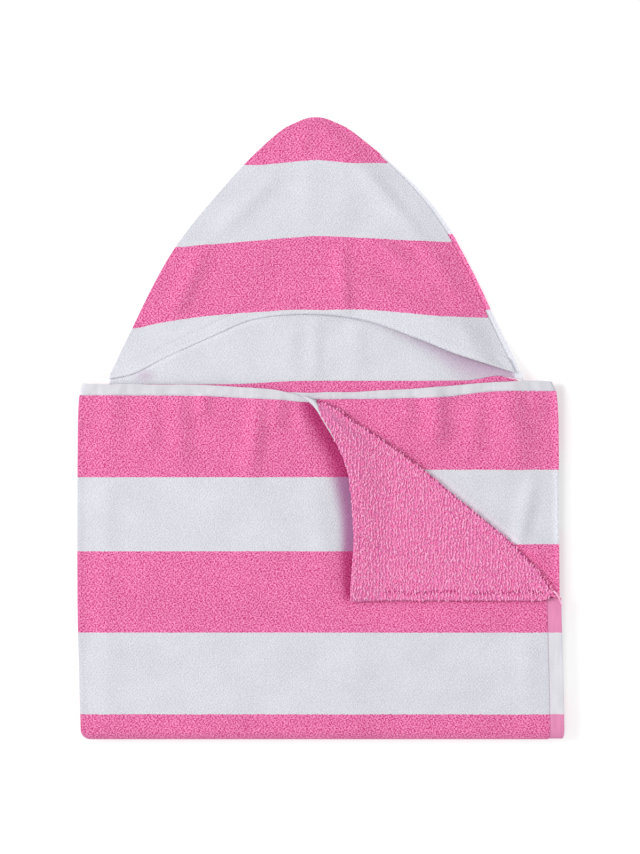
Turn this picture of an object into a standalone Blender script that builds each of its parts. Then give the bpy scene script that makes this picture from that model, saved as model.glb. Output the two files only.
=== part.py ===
"""A striped hooded towel, folded in thirds and then in half, lying on a surface with its hood spread above.

The towel's body is one long cloth. Its right third is folded over the centre, its left third over both,
and the whole is folded in half underneath. A corner of the left third is turned down. Each stretch of
cloth that shows is one wall, and the three layers underneath are one solid that is layered at its edges.

Plan sizes are millimetres seen from above: +X to the right, +Y towards the hood's tip, zero in the middle.
"""
import math
from typing import Callable, NamedTuple

import bpy
from mathutils import Vector

MM = 0.001

# The cloth and how it stacks
WALL = 2.6  # terry cloth with its pile
LAYER_GAP = 0.6  # air between two layers that lie on each other
SEAM_GAP = 0.3  # between two pieces that are sewn to each other
HEM_GAP = 0.6  # between a panel and its hem, which turn round a fold at a slant
HIDDEN_GAP = 1.2  # between two stretches that meet out of sight
NECK_GAP = 0.5  # between the centre panel and the hood, whose facets differ
HEM_WALL = 2.2  # flat-woven hem, turned double
PITCH = WALL + LAYER_GAP  # height from one layer to the next

# Layers counted from the surface; the three below the centre are hidden
HIDDEN_LAYERS = 3
CENTRE_LAYER = 3
RIGHT_LAYER = 4
LEFT_LAYER = 5

# The folded body
BODY_HALF_WIDTH = 213.0
BODY_BOTTOM = -272.6
HIDDEN_TOP = 35.5  # the hidden half's own edge stops short of the edges above it
PANEL_END = 203.7  # where the folds' lower legs meet the centre panel
SIDE_HEM_INNER = 200.4  # the side hem's inner edge
HALF_FOLD_HEIGHT = HIDDEN_LAYERS * PITCH - LAYER_GAP / 2  # axis of the fold in half
HALF_FOLD_Y = BODY_BOTTOM + HALF_FOLD_HEIGHT
FOLD_RUN = 3.0  # the side folds' lower legs stop this far before the fold in half
LAYER_END_GAP = 0.8  # from the fold in half to the layers that it holds
CORNER_INSET = 0.022  # how far the bottom corners draw in, as a share of the half width

# The turned corner and its crease
CREASE_START_Y = 22.0  # where the crease leaves the top hem
CREASE_END_Y = -147.0  # where the crease meets the side edge
CORNER_END_Y = -150.0  # the turned corner's own tip
CREASE_SLOPE = 0.627  # sine of the angle between the crease and +X
ROLL_RADIUS = 2.3  # the crease's roll, to the middle of the cloth
SETTLE_LENGTH = 16.0  # how far from the roll the turned corner comes to rest
EDGE_LIFT = 0.8  # how far the corner's free edge stands up beside the hem

# The hood
HOOD_PITCH = 3.4  # height from the hood's back to its front, on a slope too
HOOD_DROP = (42.0, 88.0)  # the hood comes down between these and lies on the surface from there to the tip
NECK_Y = 40.0  # the neck's height on the plan, about which its curve runs
OPENING_ROLL = 2.3  # the face opening's turned hem, to the middle of the cloth
OPENING_RETURN = 9.0  # width of the turned part
OPENING_SETTLE = (20.0, 52.0)  # where the front starts and ends coming down to rest on the back
TIP_Y = 269.0  # the tip's shoulders
TIP_BOW = 3.6  # height of the round tip above its shoulders
BACK_INSET = 1.5  # how far the back's left edge lies inside the front's

# Steps along and across the cloth
FOLD_STEPS = 6
WRAP_STEPS = 8
CORNER_STEPS = 4
FREE_EDGE_GROOVE = 3.0  # depth of the groove between two hidden edges
HIDDEN_INSET = 1.5  # how far the hidden half lies inside the half above it
HIDDEN_CORNER = 4.0

PINK = (0.824, 0.188, 0.412)
WHITE = (0.730, 0.737, 0.783)
FLAT_WHITE = (0.701, 0.694, 0.768)


class Knot(NamedTuple):
    """One place on a smooth curve: where it is asked, and what it gives there."""

    at: float
    value: float


class Span(NamedTuple):
    """The outline's left and right edge at one height on the plan."""

    y: float
    left: float
    right: float


# The body narrows a little towards its top corners
BODY_SPANS = (
    Span(y=39.0, left=-205.5, right=203.0),
    Span(y=32.0, left=-209.5, right=206.3),
    Span(y=6.0, left=-212.6, right=208.8),
    Span(y=-147.0, left=-213.0, right=209.8),
    Span(y=-215.0, left=-211.6, right=211.6),
    Span(y=-263.0, left=-210.2, right=212.6),
)

# The hood's outline, from the neck to the shoulders of its tip
HOOD_SPANS = (
    Span(y=40.0, left=-184.5, right=177.5),
    Span(y=66.0, left=-175.0, right=165.5),
    Span(y=94.0, left=-162.0, right=152.5),
    Span(y=122.0, left=-148.5, right=142.5),
    Span(y=150.0, left=-133.0, right=127.5),
    Span(y=178.0, left=-112.5, right=109.0),
    Span(y=206.0, left=-88.0, right=87.0),
    Span(y=234.0, left=-63.5, right=58.0),
    Span(y=255.0, left=-41.0, right=33.0),
    Span(y=264.0, left=-28.5, right=20.0),
    Span(y=269.0, left=-18.0, right=10.0),
)

# How far the hood's back shows beyond its front, on the right only
BACK_PEEK = (Knot(40.0, 4.0), Knot(120.0, 4.6), Knot(200.0, 4.2), Knot(250.0, 1.6), Knot(269.0, 0.8))

# The face opening, from its left end over its top to its right end: x, then y
OPENING_EDGE = (
    Knot(-182.5, 43.5),
    Knot(-165.0, 47.0),
    Knot(-137.0, 61.0),
    Knot(-94.0, 81.0),
    Knot(-60.0, 95.0),
    Knot(-12.0, 99.8),
    Knot(37.0, 94.4),
    Knot(85.0, 78.0),
    Knot(117.0, 65.0),
    Knot(148.0, 55.0),
    Knot(171.5, 47.5),
)

# The neck, where the hood's back is sewn to the centre panel: x, then y
NECK = (
    Knot(-204.0, 38.6),
    Knot(-100.0, 39.4),
    Knot(-17.0, 41.2),
    Knot(130.0, 41.6),
    Knot(177.0, 42.4),
    Knot(204.0, 40.6),
)

# Upper and lower edges of the two top hems: x, then y
LEFT_HEM_TOP = (
    Knot(-213.0, 38.6),
    Knot(-113.0, 37.6),
    Knot(-73.0, 35.8),
    Knot(-42.0, 33.6),
    Knot(-16.5, 27.2),
    Knot(-4.0, 24.4),
)
LEFT_HEM_BOTTOM = (
    Knot(-213.0, 28.4),
    Knot(-105.0, 27.6),
    Knot(-35.0, 24.1),
    Knot(-4.0, CREASE_START_Y),
    Knot(213.0, CREASE_START_Y),
)
RIGHT_HEM_TOP = (
    Knot(-213.0, 31.0),
    Knot(9.0, 31.2),
    Knot(70.0, 33.7),
    Knot(127.0, 38.2),
    Knot(166.0, 40.4),
    Knot(200.0, 40.2),
    Knot(213.0, 36.4),
)
RIGHT_HEM_BOTTOM = (
    Knot(-213.0, 23.5),
    Knot(9.0, 25.0),
    Knot(105.0, 26.7),
    Knot(149.0, 31.6),
    Knot(213.0, 32.2),
)

# The crease's outermost line and the turned corner's free edge: y, then x
CREASE = (
    Knot(CREASE_START_Y, 9.5),
    Knot(13.6, 21.0),
    Knot(-12.7, 58.0),
    Knot(-61.0, 119.0),
    Knot(-98.0, 164.0),
    Knot(CREASE_END_Y, 208.6),
)
CORNER_EDGE = (
    Knot(CREASE_START_Y, -6.0),
    Knot(5.1, 2.5),
    Knot(-10.7, 12.3),
    Knot(-23.5, 19.1),
    Knot(-40.0, 24.4),
    Knot(-78.0, 28.2),
    Knot(-123.0, 25.6),
    Knot(CORNER_END_Y, 25.8),
)


def lerp(start: float, end: float, share: float) -> float:
    """Value that lies at a share of the way from start to end."""
    return start + (end - start) * share


def smoothstep(start: float, end: float, value: float) -> float:
    """Zero before start, one after end, and a soft rise between them."""
    share = min(max((value - start) / (end - start), 0.0), 1.0)
    return share * share * (3.0 - 2.0 * share)


def follow(knots: tuple[Knot, ...], at: float) -> float:
    """Value of the smooth curve through the knots, which may run up or down, held flat past its ends."""
    ordered = sorted(knots)
    if at <= ordered[0].at:
        return ordered[0].value
    if at >= ordered[-1].at:
        return ordered[-1].value
    index = max(i for i, knot in enumerate(ordered) if knot.at <= at)

    def slope(i: int) -> float:
        before, after = ordered[max(i - 1, 0)], ordered[min(i + 1, len(ordered) - 1)]
        return (after.value - before.value) / (after.at - before.at)

    low, high = ordered[index], ordered[index + 1]
    width = high.at - low.at
    t = (at - low.at) / width
    return (
        (2 * t**3 - 3 * t**2 + 1) * low.value
        + (t**3 - 2 * t**2 + t) * width * slope(index)
        + (-2 * t**3 + 3 * t**2) * high.value
        + (t**3 - t**2) * width * slope(index + 1)
    )


def span_edge(spans: tuple[Span, ...], side: str, y: float) -> float:
    """Outline's edge on one side, "left" or "right", at a height on the plan."""
    return follow(tuple(Knot(span.y, getattr(span, side)) for span in spans), y)


def shares(count: int) -> list[float]:
    """Even steps from zero to one, count of them, with both ends."""
    return [step / count for step in range(count + 1)]


def layer_middle(layer: int, wall: float = WALL) -> float:
    """Height of the middle of a wall that lies at the bottom of a layer."""
    return layer * PITCH + wall / 2


def body_point(x: float, y: float, z: float, turn: float = 0.0) -> Vector:
    """Point of the folded body, drawn in at the body's corners and turned round the fold in half.

    Args:
        x: Place across the body as if it were 2 * BODY_HALF_WIDTH wide all the way.
        y: Height on the plan, above the fold in half.
        z: Height above the surface before the turn.
        turn: Angle round the fold in half's axis, in radians.
    """
    height = z - HALF_FOLD_HEIGHT
    turned_y = y - height * math.sin(turn)
    side, inset = ("left", CORNER_INSET) if x < 0 else ("right", CORNER_INSET / 3)
    past_fold = max(HALF_FOLD_Y - turned_y, 0.0) / HALF_FOLD_HEIGHT
    drawn = abs(span_edge(BODY_SPANS, side, y)) / BODY_HALF_WIDTH - 1.0 - inset * past_fold**2
    x += x * drawn * smoothstep(140.0, 200.0, abs(x))
    return Vector((x, turned_y, HALF_FOLD_HEIGHT + height * math.cos(turn)))


def make_material(name: str, colour: tuple[float, float, float], roughness: float) -> bpy.types.Material:
    """Principled material of one colour, given in linear light."""
    material = bpy.data.materials.new(name)
    material.use_nodes = True
    shader = material.node_tree.nodes["Principled BSDF"]
    shader.inputs["Base Color"].default_value = (*colour, 1.0)
    shader.inputs["Roughness"].default_value = roughness
    shader.inputs["Metallic"].default_value = 0.0
    material.diffuse_color = (*colour, 1.0)
    return material


def make_object(name: str, mesh: bpy.types.Mesh, colour: tuple[float, float, float]) -> bpy.types.Object:
    """Named object with its own terry material, shaded smooth but for sharp edges."""
    mesh.materials.append(make_material(f"{name}_cloth", colour, 0.95))
    mesh.shade_smooth()
    mesh.set_sharp_from_angle(angle=math.radians(50.0))
    part = bpy.data.objects.new(name, mesh)
    bpy.context.scene.collection.objects.link(part)
    return part


def make_wall(
    name: str,
    rows: list[list[Vector]],
    colour: tuple[float, float, float],
    wall: float = WALL,
    keeps: Callable[[int, int], bool] = lambda row, column: True,
) -> bpy.types.Object:
    """Cloth wall of even thickness round a grid of points.

    Args:
        name: Name of the object.
        rows: The middle of the cloth, in millimetres, each row with as many points as the first.
        colour: Colour in linear light.
        wall: Thickness in millimetres.
        keeps: Says of a row and a column whether the square that starts there is cloth.
    """
    width = len(rows[0])
    faces = [
        (i * width + j, i * width + j + 1, (i + 1) * width + j + 1, (i + 1) * width + j)
        for i in range(len(rows) - 1)
        for j in range(width - 1)
        if keeps(i, j)
    ]
    used = sorted({index for face in faces for index in face})
    place = {index: position for position, index in enumerate(used)}
    points = [point for row in rows for point in row]
    mesh = bpy.data.meshes.new(name)
    mesh.from_pydata([points[i] * MM for i in used], [], [tuple(place[i] for i in face) for face in faces])
    part = make_object(name, mesh, colour)
    solidify = part.modifiers.new("Wall", "SOLIDIFY")
    solidify.thickness = wall * MM
    solidify.offset = 0.0
    solidify.use_even_offset = True
    return part


def fold_section(axis_x: float, low: float, high: float, outward: float) -> list[tuple[float, float]]:
    """Half round from a lower layer to a higher one, as (x, z) pairs that start on the lower layer.

    Args:
        axis_x: Place of the fold's axis.
        low: Height of the middle of the lower layer's cloth.
        high: Height of the middle of the higher layer's cloth.
        outward: -1.0 for a fold at the left edge, 1.0 for one at the right.
    """
    radius = (high - low) / 2
    angles = [math.pi * share for share in shares(FOLD_STEPS)]
    places = []
    for angle in angles:
        places.append((axis_x + outward * radius * math.sin(angle), low + radius * (1 - math.cos(angle))))
    return places


def flat_rows(
    section: list[tuple[float, float]], top: Callable[[float], float], bottom: float
) -> list[list[Vector]]:
    """Rows of a flat stretch of the body, closer together near its top corners and before its lower edge.

    Args:
        section: The stretch's section as (x, z) pairs.
        top: Height on the plan of the stretch's upper edge at x.
        bottom: Height on the plan of its lower edge.
    """
    ends = (bottom + FOLD_RUN, bottom)
    rows = [[body_point(x, lerp(top(x), ends[0], share**1.3), z) for x, z in section] for share in shares(9)]
    return rows + [[body_point(x, ends[1], z) for x, z in section]]


def turned_rows(section: list[tuple[float, float]]) -> list[list[Vector]]:
    """Rows of a stretch of the body round the fold in half, down to the surface."""
    turns = [math.pi * share for share in shares(WRAP_STEPS)[1:]]
    return [[body_point(x, HALF_FOLD_Y, z, turn) for x, z in section] for turn in turns]


def hidden_layers() -> bpy.types.Object:
    """The half that is folded underneath: three layers as one solid, with an edge for each layer."""

    def rounding(z: float, low: float, high: float) -> float:
        radius = (high - low) / 2
        return radius - math.sqrt(max(radius**2 - (z - low - radius) ** 2, 0.0))

    def outline(z: float, groove: bool) -> list[Vector]:
        layer = int(z // PITCH)
        free_edge = FREE_EDGE_GROOVE if groove else rounding(z, layer * PITCH, layer * PITCH + WALL)
        left_fold = rounding(z, 0.0, HIDDEN_LAYERS * PITCH - LAYER_GAP)
        right_fold = rounding(z, PITCH, HIDDEN_LAYERS * PITCH - LAYER_GAP)
        left = HIDDEN_INSET + left_fold - BODY_HALF_WIDTH
        right = BODY_HALF_WIDTH - HIDDEN_INSET - (free_edge if layer == 0 else right_fold)
        bottom = HALF_FOLD_Y + LAYER_END_GAP
        corner_y = HIDDEN_TOP - free_edge - HIDDEN_CORNER
        loop = [(right, lerp(bottom, corner_y, share)) for share in shares(4)[:-1]]
        for x, start in ((right - HIDDEN_CORNER, 0.0), (left + HIDDEN_CORNER, 0.5)):
            for share in shares(CORNER_STEPS):
                angle = math.pi * (start + share / 2)
                loop.append((x + HIDDEN_CORNER * math.cos(angle), corner_y + HIDDEN_CORNER * math.sin(angle)))
        loop += [(left, lerp(corner_y, bottom, share)) for share in shares(4)[1:]]
        return [body_point(x, y, z) for x, y in loop]

    rings = []
    for layer in range(HIDDEN_LAYERS):
        base = layer * PITCH
        rings += [outline(base + WALL * share, groove=False) for share in (0.0, 0.2, 0.5, 0.8, 1.0)]
        if layer < HIDDEN_LAYERS - 1:
            rings.append(outline(base + WALL + LAYER_GAP / 2, groove=True))
    count = len(rings[0])
    faces = [
        (i * count + j, i * count + (j + 1) % count, (i + 1) * count + (j + 1) % count, (i + 1) * count + j)
        for i in range(len(rings) - 1)
        for j in range(count)
    ]
    faces.append(tuple(reversed(range(count))))
    faces.append(tuple(range((len(rings) - 1) * count, len(rings) * count)))
    mesh = bpy.data.meshes.new("hidden_layers")
    mesh.from_pydata([point * MM for ring in rings for point in ring], [], faces)
    return make_object("hidden_layers", mesh, PINK)


def centre_panel() -> bpy.types.Object:
    """The body's centre third, of which a strip shows between the hood and the top hems."""
    columns = [(lerp(-PANEL_END, PANEL_END, share), layer_middle(CENTRE_LAYER)) for share in shares(16)]
    rows = flat_rows(columns, lambda x: follow(NECK, x), HALF_FOLD_Y + LAYER_END_GAP)
    return make_wall("centre_panel", rows, PINK)


def right_section(wall: float = WALL) -> list[tuple[float, float]]:
    """Section of the right third, from its edge inside the left fold round the right fold to the centre."""
    low, high = layer_middle(CENTRE_LAYER), layer_middle(RIGHT_LAYER)
    fold = fold_section(BODY_HALF_WIDTH - 1.0 - WALL / 2 - (high - low) / 2, low, high, 1.0)
    flat = [(lerp(-PANEL_END, fold[-1][0], share), high) for share in shares(12)[:-1]]
    section = flat + fold[::-1] + [(PANEL_END + HIDDEN_GAP, low)]
    return [(x, z - (WALL - wall) / 2) for x, z in section]


def right_panel() -> bpy.types.Object:
    """The body's right third, folded over the centre."""
    section = right_section()
    flat = flat_rows(section, lambda x: follow(RIGHT_HEM_BOTTOM, x), HALF_FOLD_Y)
    outermost = len(section) - 2 - FOLD_STEPS // 2

    def keeps(row: int, column: int) -> bool:
        return row < len(flat) - 2 or column < outermost

    return make_wall("right_panel", flat + turned_rows(section), PINK, keeps=keeps)


def hem_rows(
    section: list[tuple[float, float]], bottom: tuple[Knot, ...], top: tuple[Knot, ...]
) -> list[list[Vector]]:
    """Rows of a top hem, from its seam with the panel below it to its upper edge."""
    return [
        [body_point(x, lerp(follow(bottom, x) + HEM_GAP, follow(top, x), share), z) for x, z in section]
        for share in shares(2)
    ]


def top_hem_right() -> bpy.types.Object:
    """Flat-woven hem along the right third's top edge, which runs round the right fold with it."""
    rows = hem_rows(right_section(HEM_WALL), RIGHT_HEM_BOTTOM, RIGHT_HEM_TOP)
    return make_wall("top_hem_right", rows, FLAT_WHITE, HEM_WALL)


def left_fold_section(wall: float = WALL) -> list[tuple[float, float]]:
    """Section of the left fold, from the centre's level up to the left third's."""
    low, high = layer_middle(CENTRE_LAYER), layer_middle(LEFT_LAYER)
    fold = fold_section(-BODY_HALF_WIDTH + WALL / 2 + (high - low) / 2, low, high, -1.0)
    return [(x, z - (WALL - wall) / 2) for x, z in [(-PANEL_END - HIDDEN_GAP, low)] + fold]


def top_hem_left() -> bpy.types.Object:
    """Flat-woven hem along the left third's top edge, up to where the corner is turned down."""
    fold = left_fold_section(HEM_WALL)
    start_x, height = fold[-1]
    section = fold + [(lerp(start_x, -4.0, share), height) for share in shares(14)[1:]]
    return make_wall("top_hem_left", hem_rows(section, LEFT_HEM_BOTTOM, LEFT_HEM_TOP), FLAT_WHITE, HEM_WALL)


def left_panel() -> bpy.types.Object:
    """The body's left third, with its top right corner turned down along the crease."""
    fold = left_fold_section()
    start_x, height = fold[-1]
    flat_steps, roll_steps, corner_steps, crease_rows = 12, 6, 8, 14
    side_column = len(fold) + flat_steps - 2  # the side hem's seam, one column before the crease

    def row(down: float) -> list[Vector]:
        """One row from the left fold over the crease to the corner's edge, with down from 0 to 1."""
        crease_y = lerp(CREASE_START_Y, CREASE_END_Y, down)
        reach = (ROLL_RADIUS + WALL / 2) / CREASE_SLOPE
        axis_x = follow(CREASE, crease_y) - reach
        # near its end the crease runs on to the side edge, where the side hem starts
        seam_x = min(SIDE_HEM_INNER - SEAM_GAP, axis_x - 3.0)
        places = [lerp(start_x, seam_x, share) for share in shares(flat_steps - 1)[1:]] + [axis_x]
        points = []
        for x, z in fold + [(x, height) for x in places]:
            points.append(body_point(x, lerp(follow(LEFT_HEM_BOTTOM, x), CREASE_END_Y, down), z))
        for share in shares(roll_steps)[1:]:
            angle = math.pi * share
            across = ROLL_RADIUS / CREASE_SLOPE * math.sin(angle)
            points.append(Vector((axis_x + across, crease_y, height + ROLL_RADIUS * (1 - math.cos(angle)))))
        edge_y = lerp(crease_y, CORNER_END_Y, down**3)
        edge_x = follow(CORNER_EDGE, crease_y)
        rolled, rested = height + 2 * ROLL_RADIUS, height + PITCH
        for share in shares(corner_steps)[1:]:
            x = lerp(axis_x, edge_x, share)
            settled = smoothstep(0.0, SETTLE_LENGTH, axis_x - x)
            lift = EDGE_LIFT * (1 - down) ** 2 * (1 - smoothstep(0.0, 30.0, x - edge_x))
            points.append(Vector((x, lerp(crease_y, edge_y, share), lerp(rolled, rested, settled) + lift)))
        return points

    rows = [row(share**1.25) for share in shares(crease_rows)]
    # below the turned corner the rows end at the side hem, and are filled up with points that no face uses
    padding = [rows[-1][side_column]] * (len(rows[0]) - side_column - 1)
    places = fold + [
        (lerp(start_x, SIDE_HEM_INNER - SEAM_GAP, share), height) for share in shares(flat_steps - 1)[1:]
    ]
    flat_ends = [lerp(CREASE_END_Y, HALF_FOLD_Y + FOLD_RUN, share) for share in shares(4)[1:]] + [HALF_FOLD_Y]
    rows += [[body_point(x, y, z) for x, z in places] + padding for y in flat_ends]
    first_turned = len(rows) - 2
    rows += [turned + padding for turned in turned_rows(places)]
    # round the fold in half, only the left fold's upper half goes on
    outermost = len(fold) - 1 - FOLD_STEPS // 2

    def keeps(row_index: int, column: int) -> bool:
        if row_index >= first_turned and column < outermost:
            return False
        return row_index < crease_rows or column < side_column

    return make_wall("left_panel", rows, PINK, keeps=keeps)


def side_hem() -> bpy.types.Object:
    """Flat-woven hem along the left third's side edge, below the turned corner."""
    height = layer_middle(LEFT_LAYER, HEM_WALL)
    columns = [(lerp(SIDE_HEM_INNER, BODY_HALF_WIDTH, share), height) for share in shares(2)]
    rows = flat_rows(columns, lambda x: CREASE_END_Y - 4.0, HALF_FOLD_Y) + turned_rows(columns)
    return make_wall("side_hem", rows, FLAT_WHITE, HEM_WALL)


def hood_height(y: float) -> float:
    """Height of the middle of the hood's back, which comes down from the body to the surface."""
    return lerp(layer_middle(CENTRE_LAYER), WALL / 2, smoothstep(*HOOD_DROP, y))


def tip_bow(across: float) -> float:
    """How far the round tip stands above its shoulders, at a share of the way across it."""
    return TIP_BOW * (1 - (2 * across - 1) ** 2)


def hood_back() -> bpy.types.Object:
    """The hood's back, sewn to the centre panel along the neck."""
    rows = []
    for up in shares(14):
        row = []
        for across in shares(14):
            y = lerp(NECK_Y, TIP_Y - BACK_INSET, 0.65 * up + 0.35 * math.sin(up * math.pi / 2))
            left = span_edge(HOOD_SPANS, "left", y) + BACK_INSET
            right = span_edge(HOOD_SPANS, "right", y)
            x = lerp(left, right, across)
            neck = (follow(NECK, x) + NECK_GAP - NECK_Y) * (1 - up) ** 4
            row.append(Vector((x, y + neck + tip_bow(across) * up**8, hood_height(y + neck))))
        rows.append(row)
    return make_wall("hood_back", rows, WHITE)


def hood_front() -> bpy.types.Object:
    """The hood's front, from the turned hem of the face opening to the tip."""
    across_steps, up_steps = 22, 12
    left_x, right_x = OPENING_EDGE[0].at, OPENING_EDGE[-1].at
    edge = [
        Vector((x, follow(OPENING_EDGE, x), 0.0))
        for x in (lerp(left_x, right_x, share) for share in shares(across_steps))
    ]
    inward = []
    for i in range(len(edge)):
        along = edge[min(i + 1, across_steps)] - edge[max(i - 1, 0)]
        inward.append(Vector((-along.y, along.x, 0.0)).normalized())

    def moved(distance: float, level: float) -> list[Vector]:
        row = []
        for point, direction in zip(edge, inward):
            place = point + direction * distance
            # the turned hem stays inside the hood's outline at both ends
            left = span_edge(HOOD_SPANS, "left", place.y)
            right = span_edge(HOOD_SPANS, "right", place.y) - follow(BACK_PEEK, place.y)
            row.append(Vector((min(max(place.x, left), right), place.y, hood_height(place.y) + level)))
        return row

    return_level, front_level = HOOD_PITCH, HOOD_PITCH + 2 * OPENING_ROLL
    axis = OPENING_ROLL + WALL / 2
    rows = [moved(axis + OPENING_RETURN, return_level), moved(axis + OPENING_RETURN / 2, return_level)]
    for share in shares(FOLD_STEPS):
        angle = math.pi * share
        level = return_level + OPENING_ROLL * (1 - math.cos(angle))
        rows.append(moved(axis - OPENING_ROLL * math.sin(angle), level))
    start = rows[-1]
    first, last = start[0], start[-1]
    for up in shares(up_steps)[1:]:
        row = []
        for bottom, across in zip(start, shares(across_steps)):
            # the patch between the opening, the tip and the outline's two sides
            left_y, right_y = lerp(first.y, TIP_Y, up), lerp(last.y, TIP_Y, up)
            left = span_edge(HOOD_SPANS, "left", left_y)
            right = span_edge(HOOD_SPANS, "right", right_y) - follow(BACK_PEEK, right_y)
            x = lerp(left, right, across) + (bottom.x - lerp(first.x, last.x, across)) * (1 - up)
            y = lerp(left_y, right_y, across)
            y += lerp(bottom.y - lerp(first.y, last.y, across), tip_bow(across), up)
            rest = smoothstep(*OPENING_SETTLE, y - bottom.y)
            row.append(Vector((x, y, hood_height(y) + lerp(front_level, HOOD_PITCH, rest))))
        rows.append(row)
    return make_wall("hood_front", rows, WHITE)


def main() -> None:
    """Clears the scene and builds the towel."""
    for existing in list(bpy.data.objects):
        bpy.data.objects.remove(existing, do_unlink=True)
    hidden_layers()
    centre_panel()
    right_panel()
    top_hem_right()
    left_panel()
    top_hem_left()
    side_hem()
    hood_back()
    hood_front()


main()
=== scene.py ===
"""Looks of the folded hooded towel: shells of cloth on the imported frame, their pile, hems and stitches."""

import logging
import math
from dataclasses import dataclass, field
from enum import Enum
from typing import ClassVar, NamedTuple, Sequence

import bmesh
import bpy
import numpy as np
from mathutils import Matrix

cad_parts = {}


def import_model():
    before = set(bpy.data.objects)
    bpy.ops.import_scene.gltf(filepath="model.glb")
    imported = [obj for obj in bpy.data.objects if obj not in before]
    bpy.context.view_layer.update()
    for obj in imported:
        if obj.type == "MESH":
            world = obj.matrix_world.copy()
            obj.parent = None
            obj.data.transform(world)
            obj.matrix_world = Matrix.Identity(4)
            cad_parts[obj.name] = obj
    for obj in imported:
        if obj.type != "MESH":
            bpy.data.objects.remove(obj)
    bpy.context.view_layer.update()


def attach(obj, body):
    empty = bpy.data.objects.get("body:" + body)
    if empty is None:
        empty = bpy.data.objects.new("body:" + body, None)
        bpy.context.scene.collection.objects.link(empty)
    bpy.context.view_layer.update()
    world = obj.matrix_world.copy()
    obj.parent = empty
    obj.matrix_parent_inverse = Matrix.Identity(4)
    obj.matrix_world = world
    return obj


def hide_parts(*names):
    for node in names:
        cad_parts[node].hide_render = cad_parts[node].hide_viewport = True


LOG = logging.getLogger("towel")

Number = np.ndarray | float
Socket = bpy.types.NodeSocket

# A third's cut across, as places across and heights from one end to the other
Section = Sequence[tuple[float, float]]

MM = 0.001

# The cloth and how it stacks, as the frame has it, in millimetres
WALL = 2.6
LAYER_GAP = 0.6
PITCH = WALL + LAYER_GAP
HEM_WALL = 2.0
SEAM_GAP = 0.3
HIDDEN_LAYERS = 3
CENTRE_LAYER = 3
RIGHT_LAYER = 4
LEFT_LAYER = 5

BODY_HALF_WIDTH = 213.0
BODY_BOTTOM = -272.6
HALF_FOLD_HEIGHT = HIDDEN_LAYERS * PITCH - LAYER_GAP / 2
HALF_FOLD_Y = BODY_BOTTOM + HALF_FOLD_HEIGHT
PANEL_END = 203.7
SIDE_HEM_INNER = 200.4
CREASE_START_Y = 22.0
CREASE_END_Y = -147.0
CORNER_END_Y = -150.0
NECK_Y = 40.0
TIP_Y = 269.0
TIP_BOW = 3.6

# How far the body's corners are drawn in at the fold in half, as shares of its half width
LEFT_DRAWN_IN = 0.022
RIGHT_DRAWN_IN = 0.007
# Places across between which the body's width starts to follow its outline
OUTLINE_FROM = 140.0
OUTLINE_FULL = 200.0

# Steps of the cloth's grid round its folds
HALF_FOLD_STEPS = 18
LEFT_FOLD_STEPS = 12
RIGHT_FOLD_STEPS = 10

# The photograph's height in pixels, and its scale
PHOTO_HEIGHT = 854
MM_PER_PIXEL = 0.875


class Knot(NamedTuple):
    """One place on a smooth curve: where it is asked, and what it gives there."""

    at: float
    value: float


class Span(NamedTuple):
    """The outline's left and right edge at one height on the plan, in millimetres."""

    y: float
    left: float
    right: float


class Crease(NamedTuple):
    """A soft ridge or trough in the cloth, from one end to the other, in millimetres.

    rise is above the cloth for a ridge and negative for a trough; width is from its middle to where it fades.
    """

    x0: float
    y0: float
    x1: float
    y1: float
    width: float
    rise: float


class Bead(NamedTuple):
    """One place along a rolled edge or a yarn: its middle, and its radius there, in millimetres."""

    x: float
    y: float
    z: float
    radius: float


class Edge(Enum):
    """Which side edge of an outline is meant; the values are the fields of Span."""

    LEFT = "left"
    RIGHT = "right"


BODY_SPANS = (
    Span(y=39.0, left=-208.4, right=203.6),
    Span(y=32.0, left=-210.9, right=206.8),
    Span(y=6.0, left=-212.6, right=208.8),
    Span(y=-147.0, left=-213.0, right=209.8),
    Span(y=-215.0, left=-211.6, right=211.6),
    Span(y=-263.0, left=-210.2, right=212.6),
)
HOOD_SPANS = (
    Span(y=40.0, left=-187.0, right=177.5),
    Span(y=66.0, left=-175.8, right=165.5),
    Span(y=94.0, left=-162.4, right=152.5),
    Span(y=122.0, left=-148.7, right=140.4),
    Span(y=150.0, left=-133.2, right=126.4),
    Span(y=178.0, left=-113.5, right=110.5),
    Span(y=206.0, left=-90.0, right=88.8),
    Span(y=234.0, left=-64.6, right=59.7),
    Span(y=255.0, left=-42.2, right=34.2),
    Span(y=264.0, left=-30.2, right=21.8),
    Span(y=269.0, left=-19.5, right=11.2),
)


def knots(*pairs: tuple[float, float]) -> tuple[Knot, ...]:
    """Knots from pairs of a place and what the curve gives there."""
    return tuple(Knot(*pair) for pair in pairs)


def stripe_edges(*heights: float) -> tuple[Knot, ...]:
    """Edges of the stripes by their heights on the plan, from the top one, which has no stripe above it."""
    return tuple(Knot(height, float(above)) for above, height in enumerate(heights))


def follow(curve: Sequence[Knot], at: Number) -> np.ndarray:
    """Smooth curve through knots, held flat past its ends.

    Args:
        curve: The curve's knots, in any order.
        at: Where the curve is asked.

    Returns:
        The curve's value at each place.
    """
    xs, ys = np.array(sorted(curve)).T
    ends = np.arange(len(xs))
    before, after = np.maximum(ends - 1, 0), np.minimum(ends + 1, len(xs) - 1)
    slopes = (ys[after] - ys[before]) / (xs[after] - xs[before])
    place = np.clip(np.asarray(at, dtype=float), xs[0], xs[-1])
    i = np.clip(np.searchsorted(xs, place, side="right") - 1, 0, len(xs) - 2)
    width = xs[i + 1] - xs[i]
    t = (place - xs[i]) / width
    return (
        (2 * t**3 - 3 * t**2 + 1) * ys[i]
        + (t**3 - 2 * t**2 + t) * width * slopes[i]
        + (-2 * t**3 + 3 * t**2) * ys[i + 1]
        + (t**3 - t**2) * width * slopes[i + 1]
    )


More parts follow.
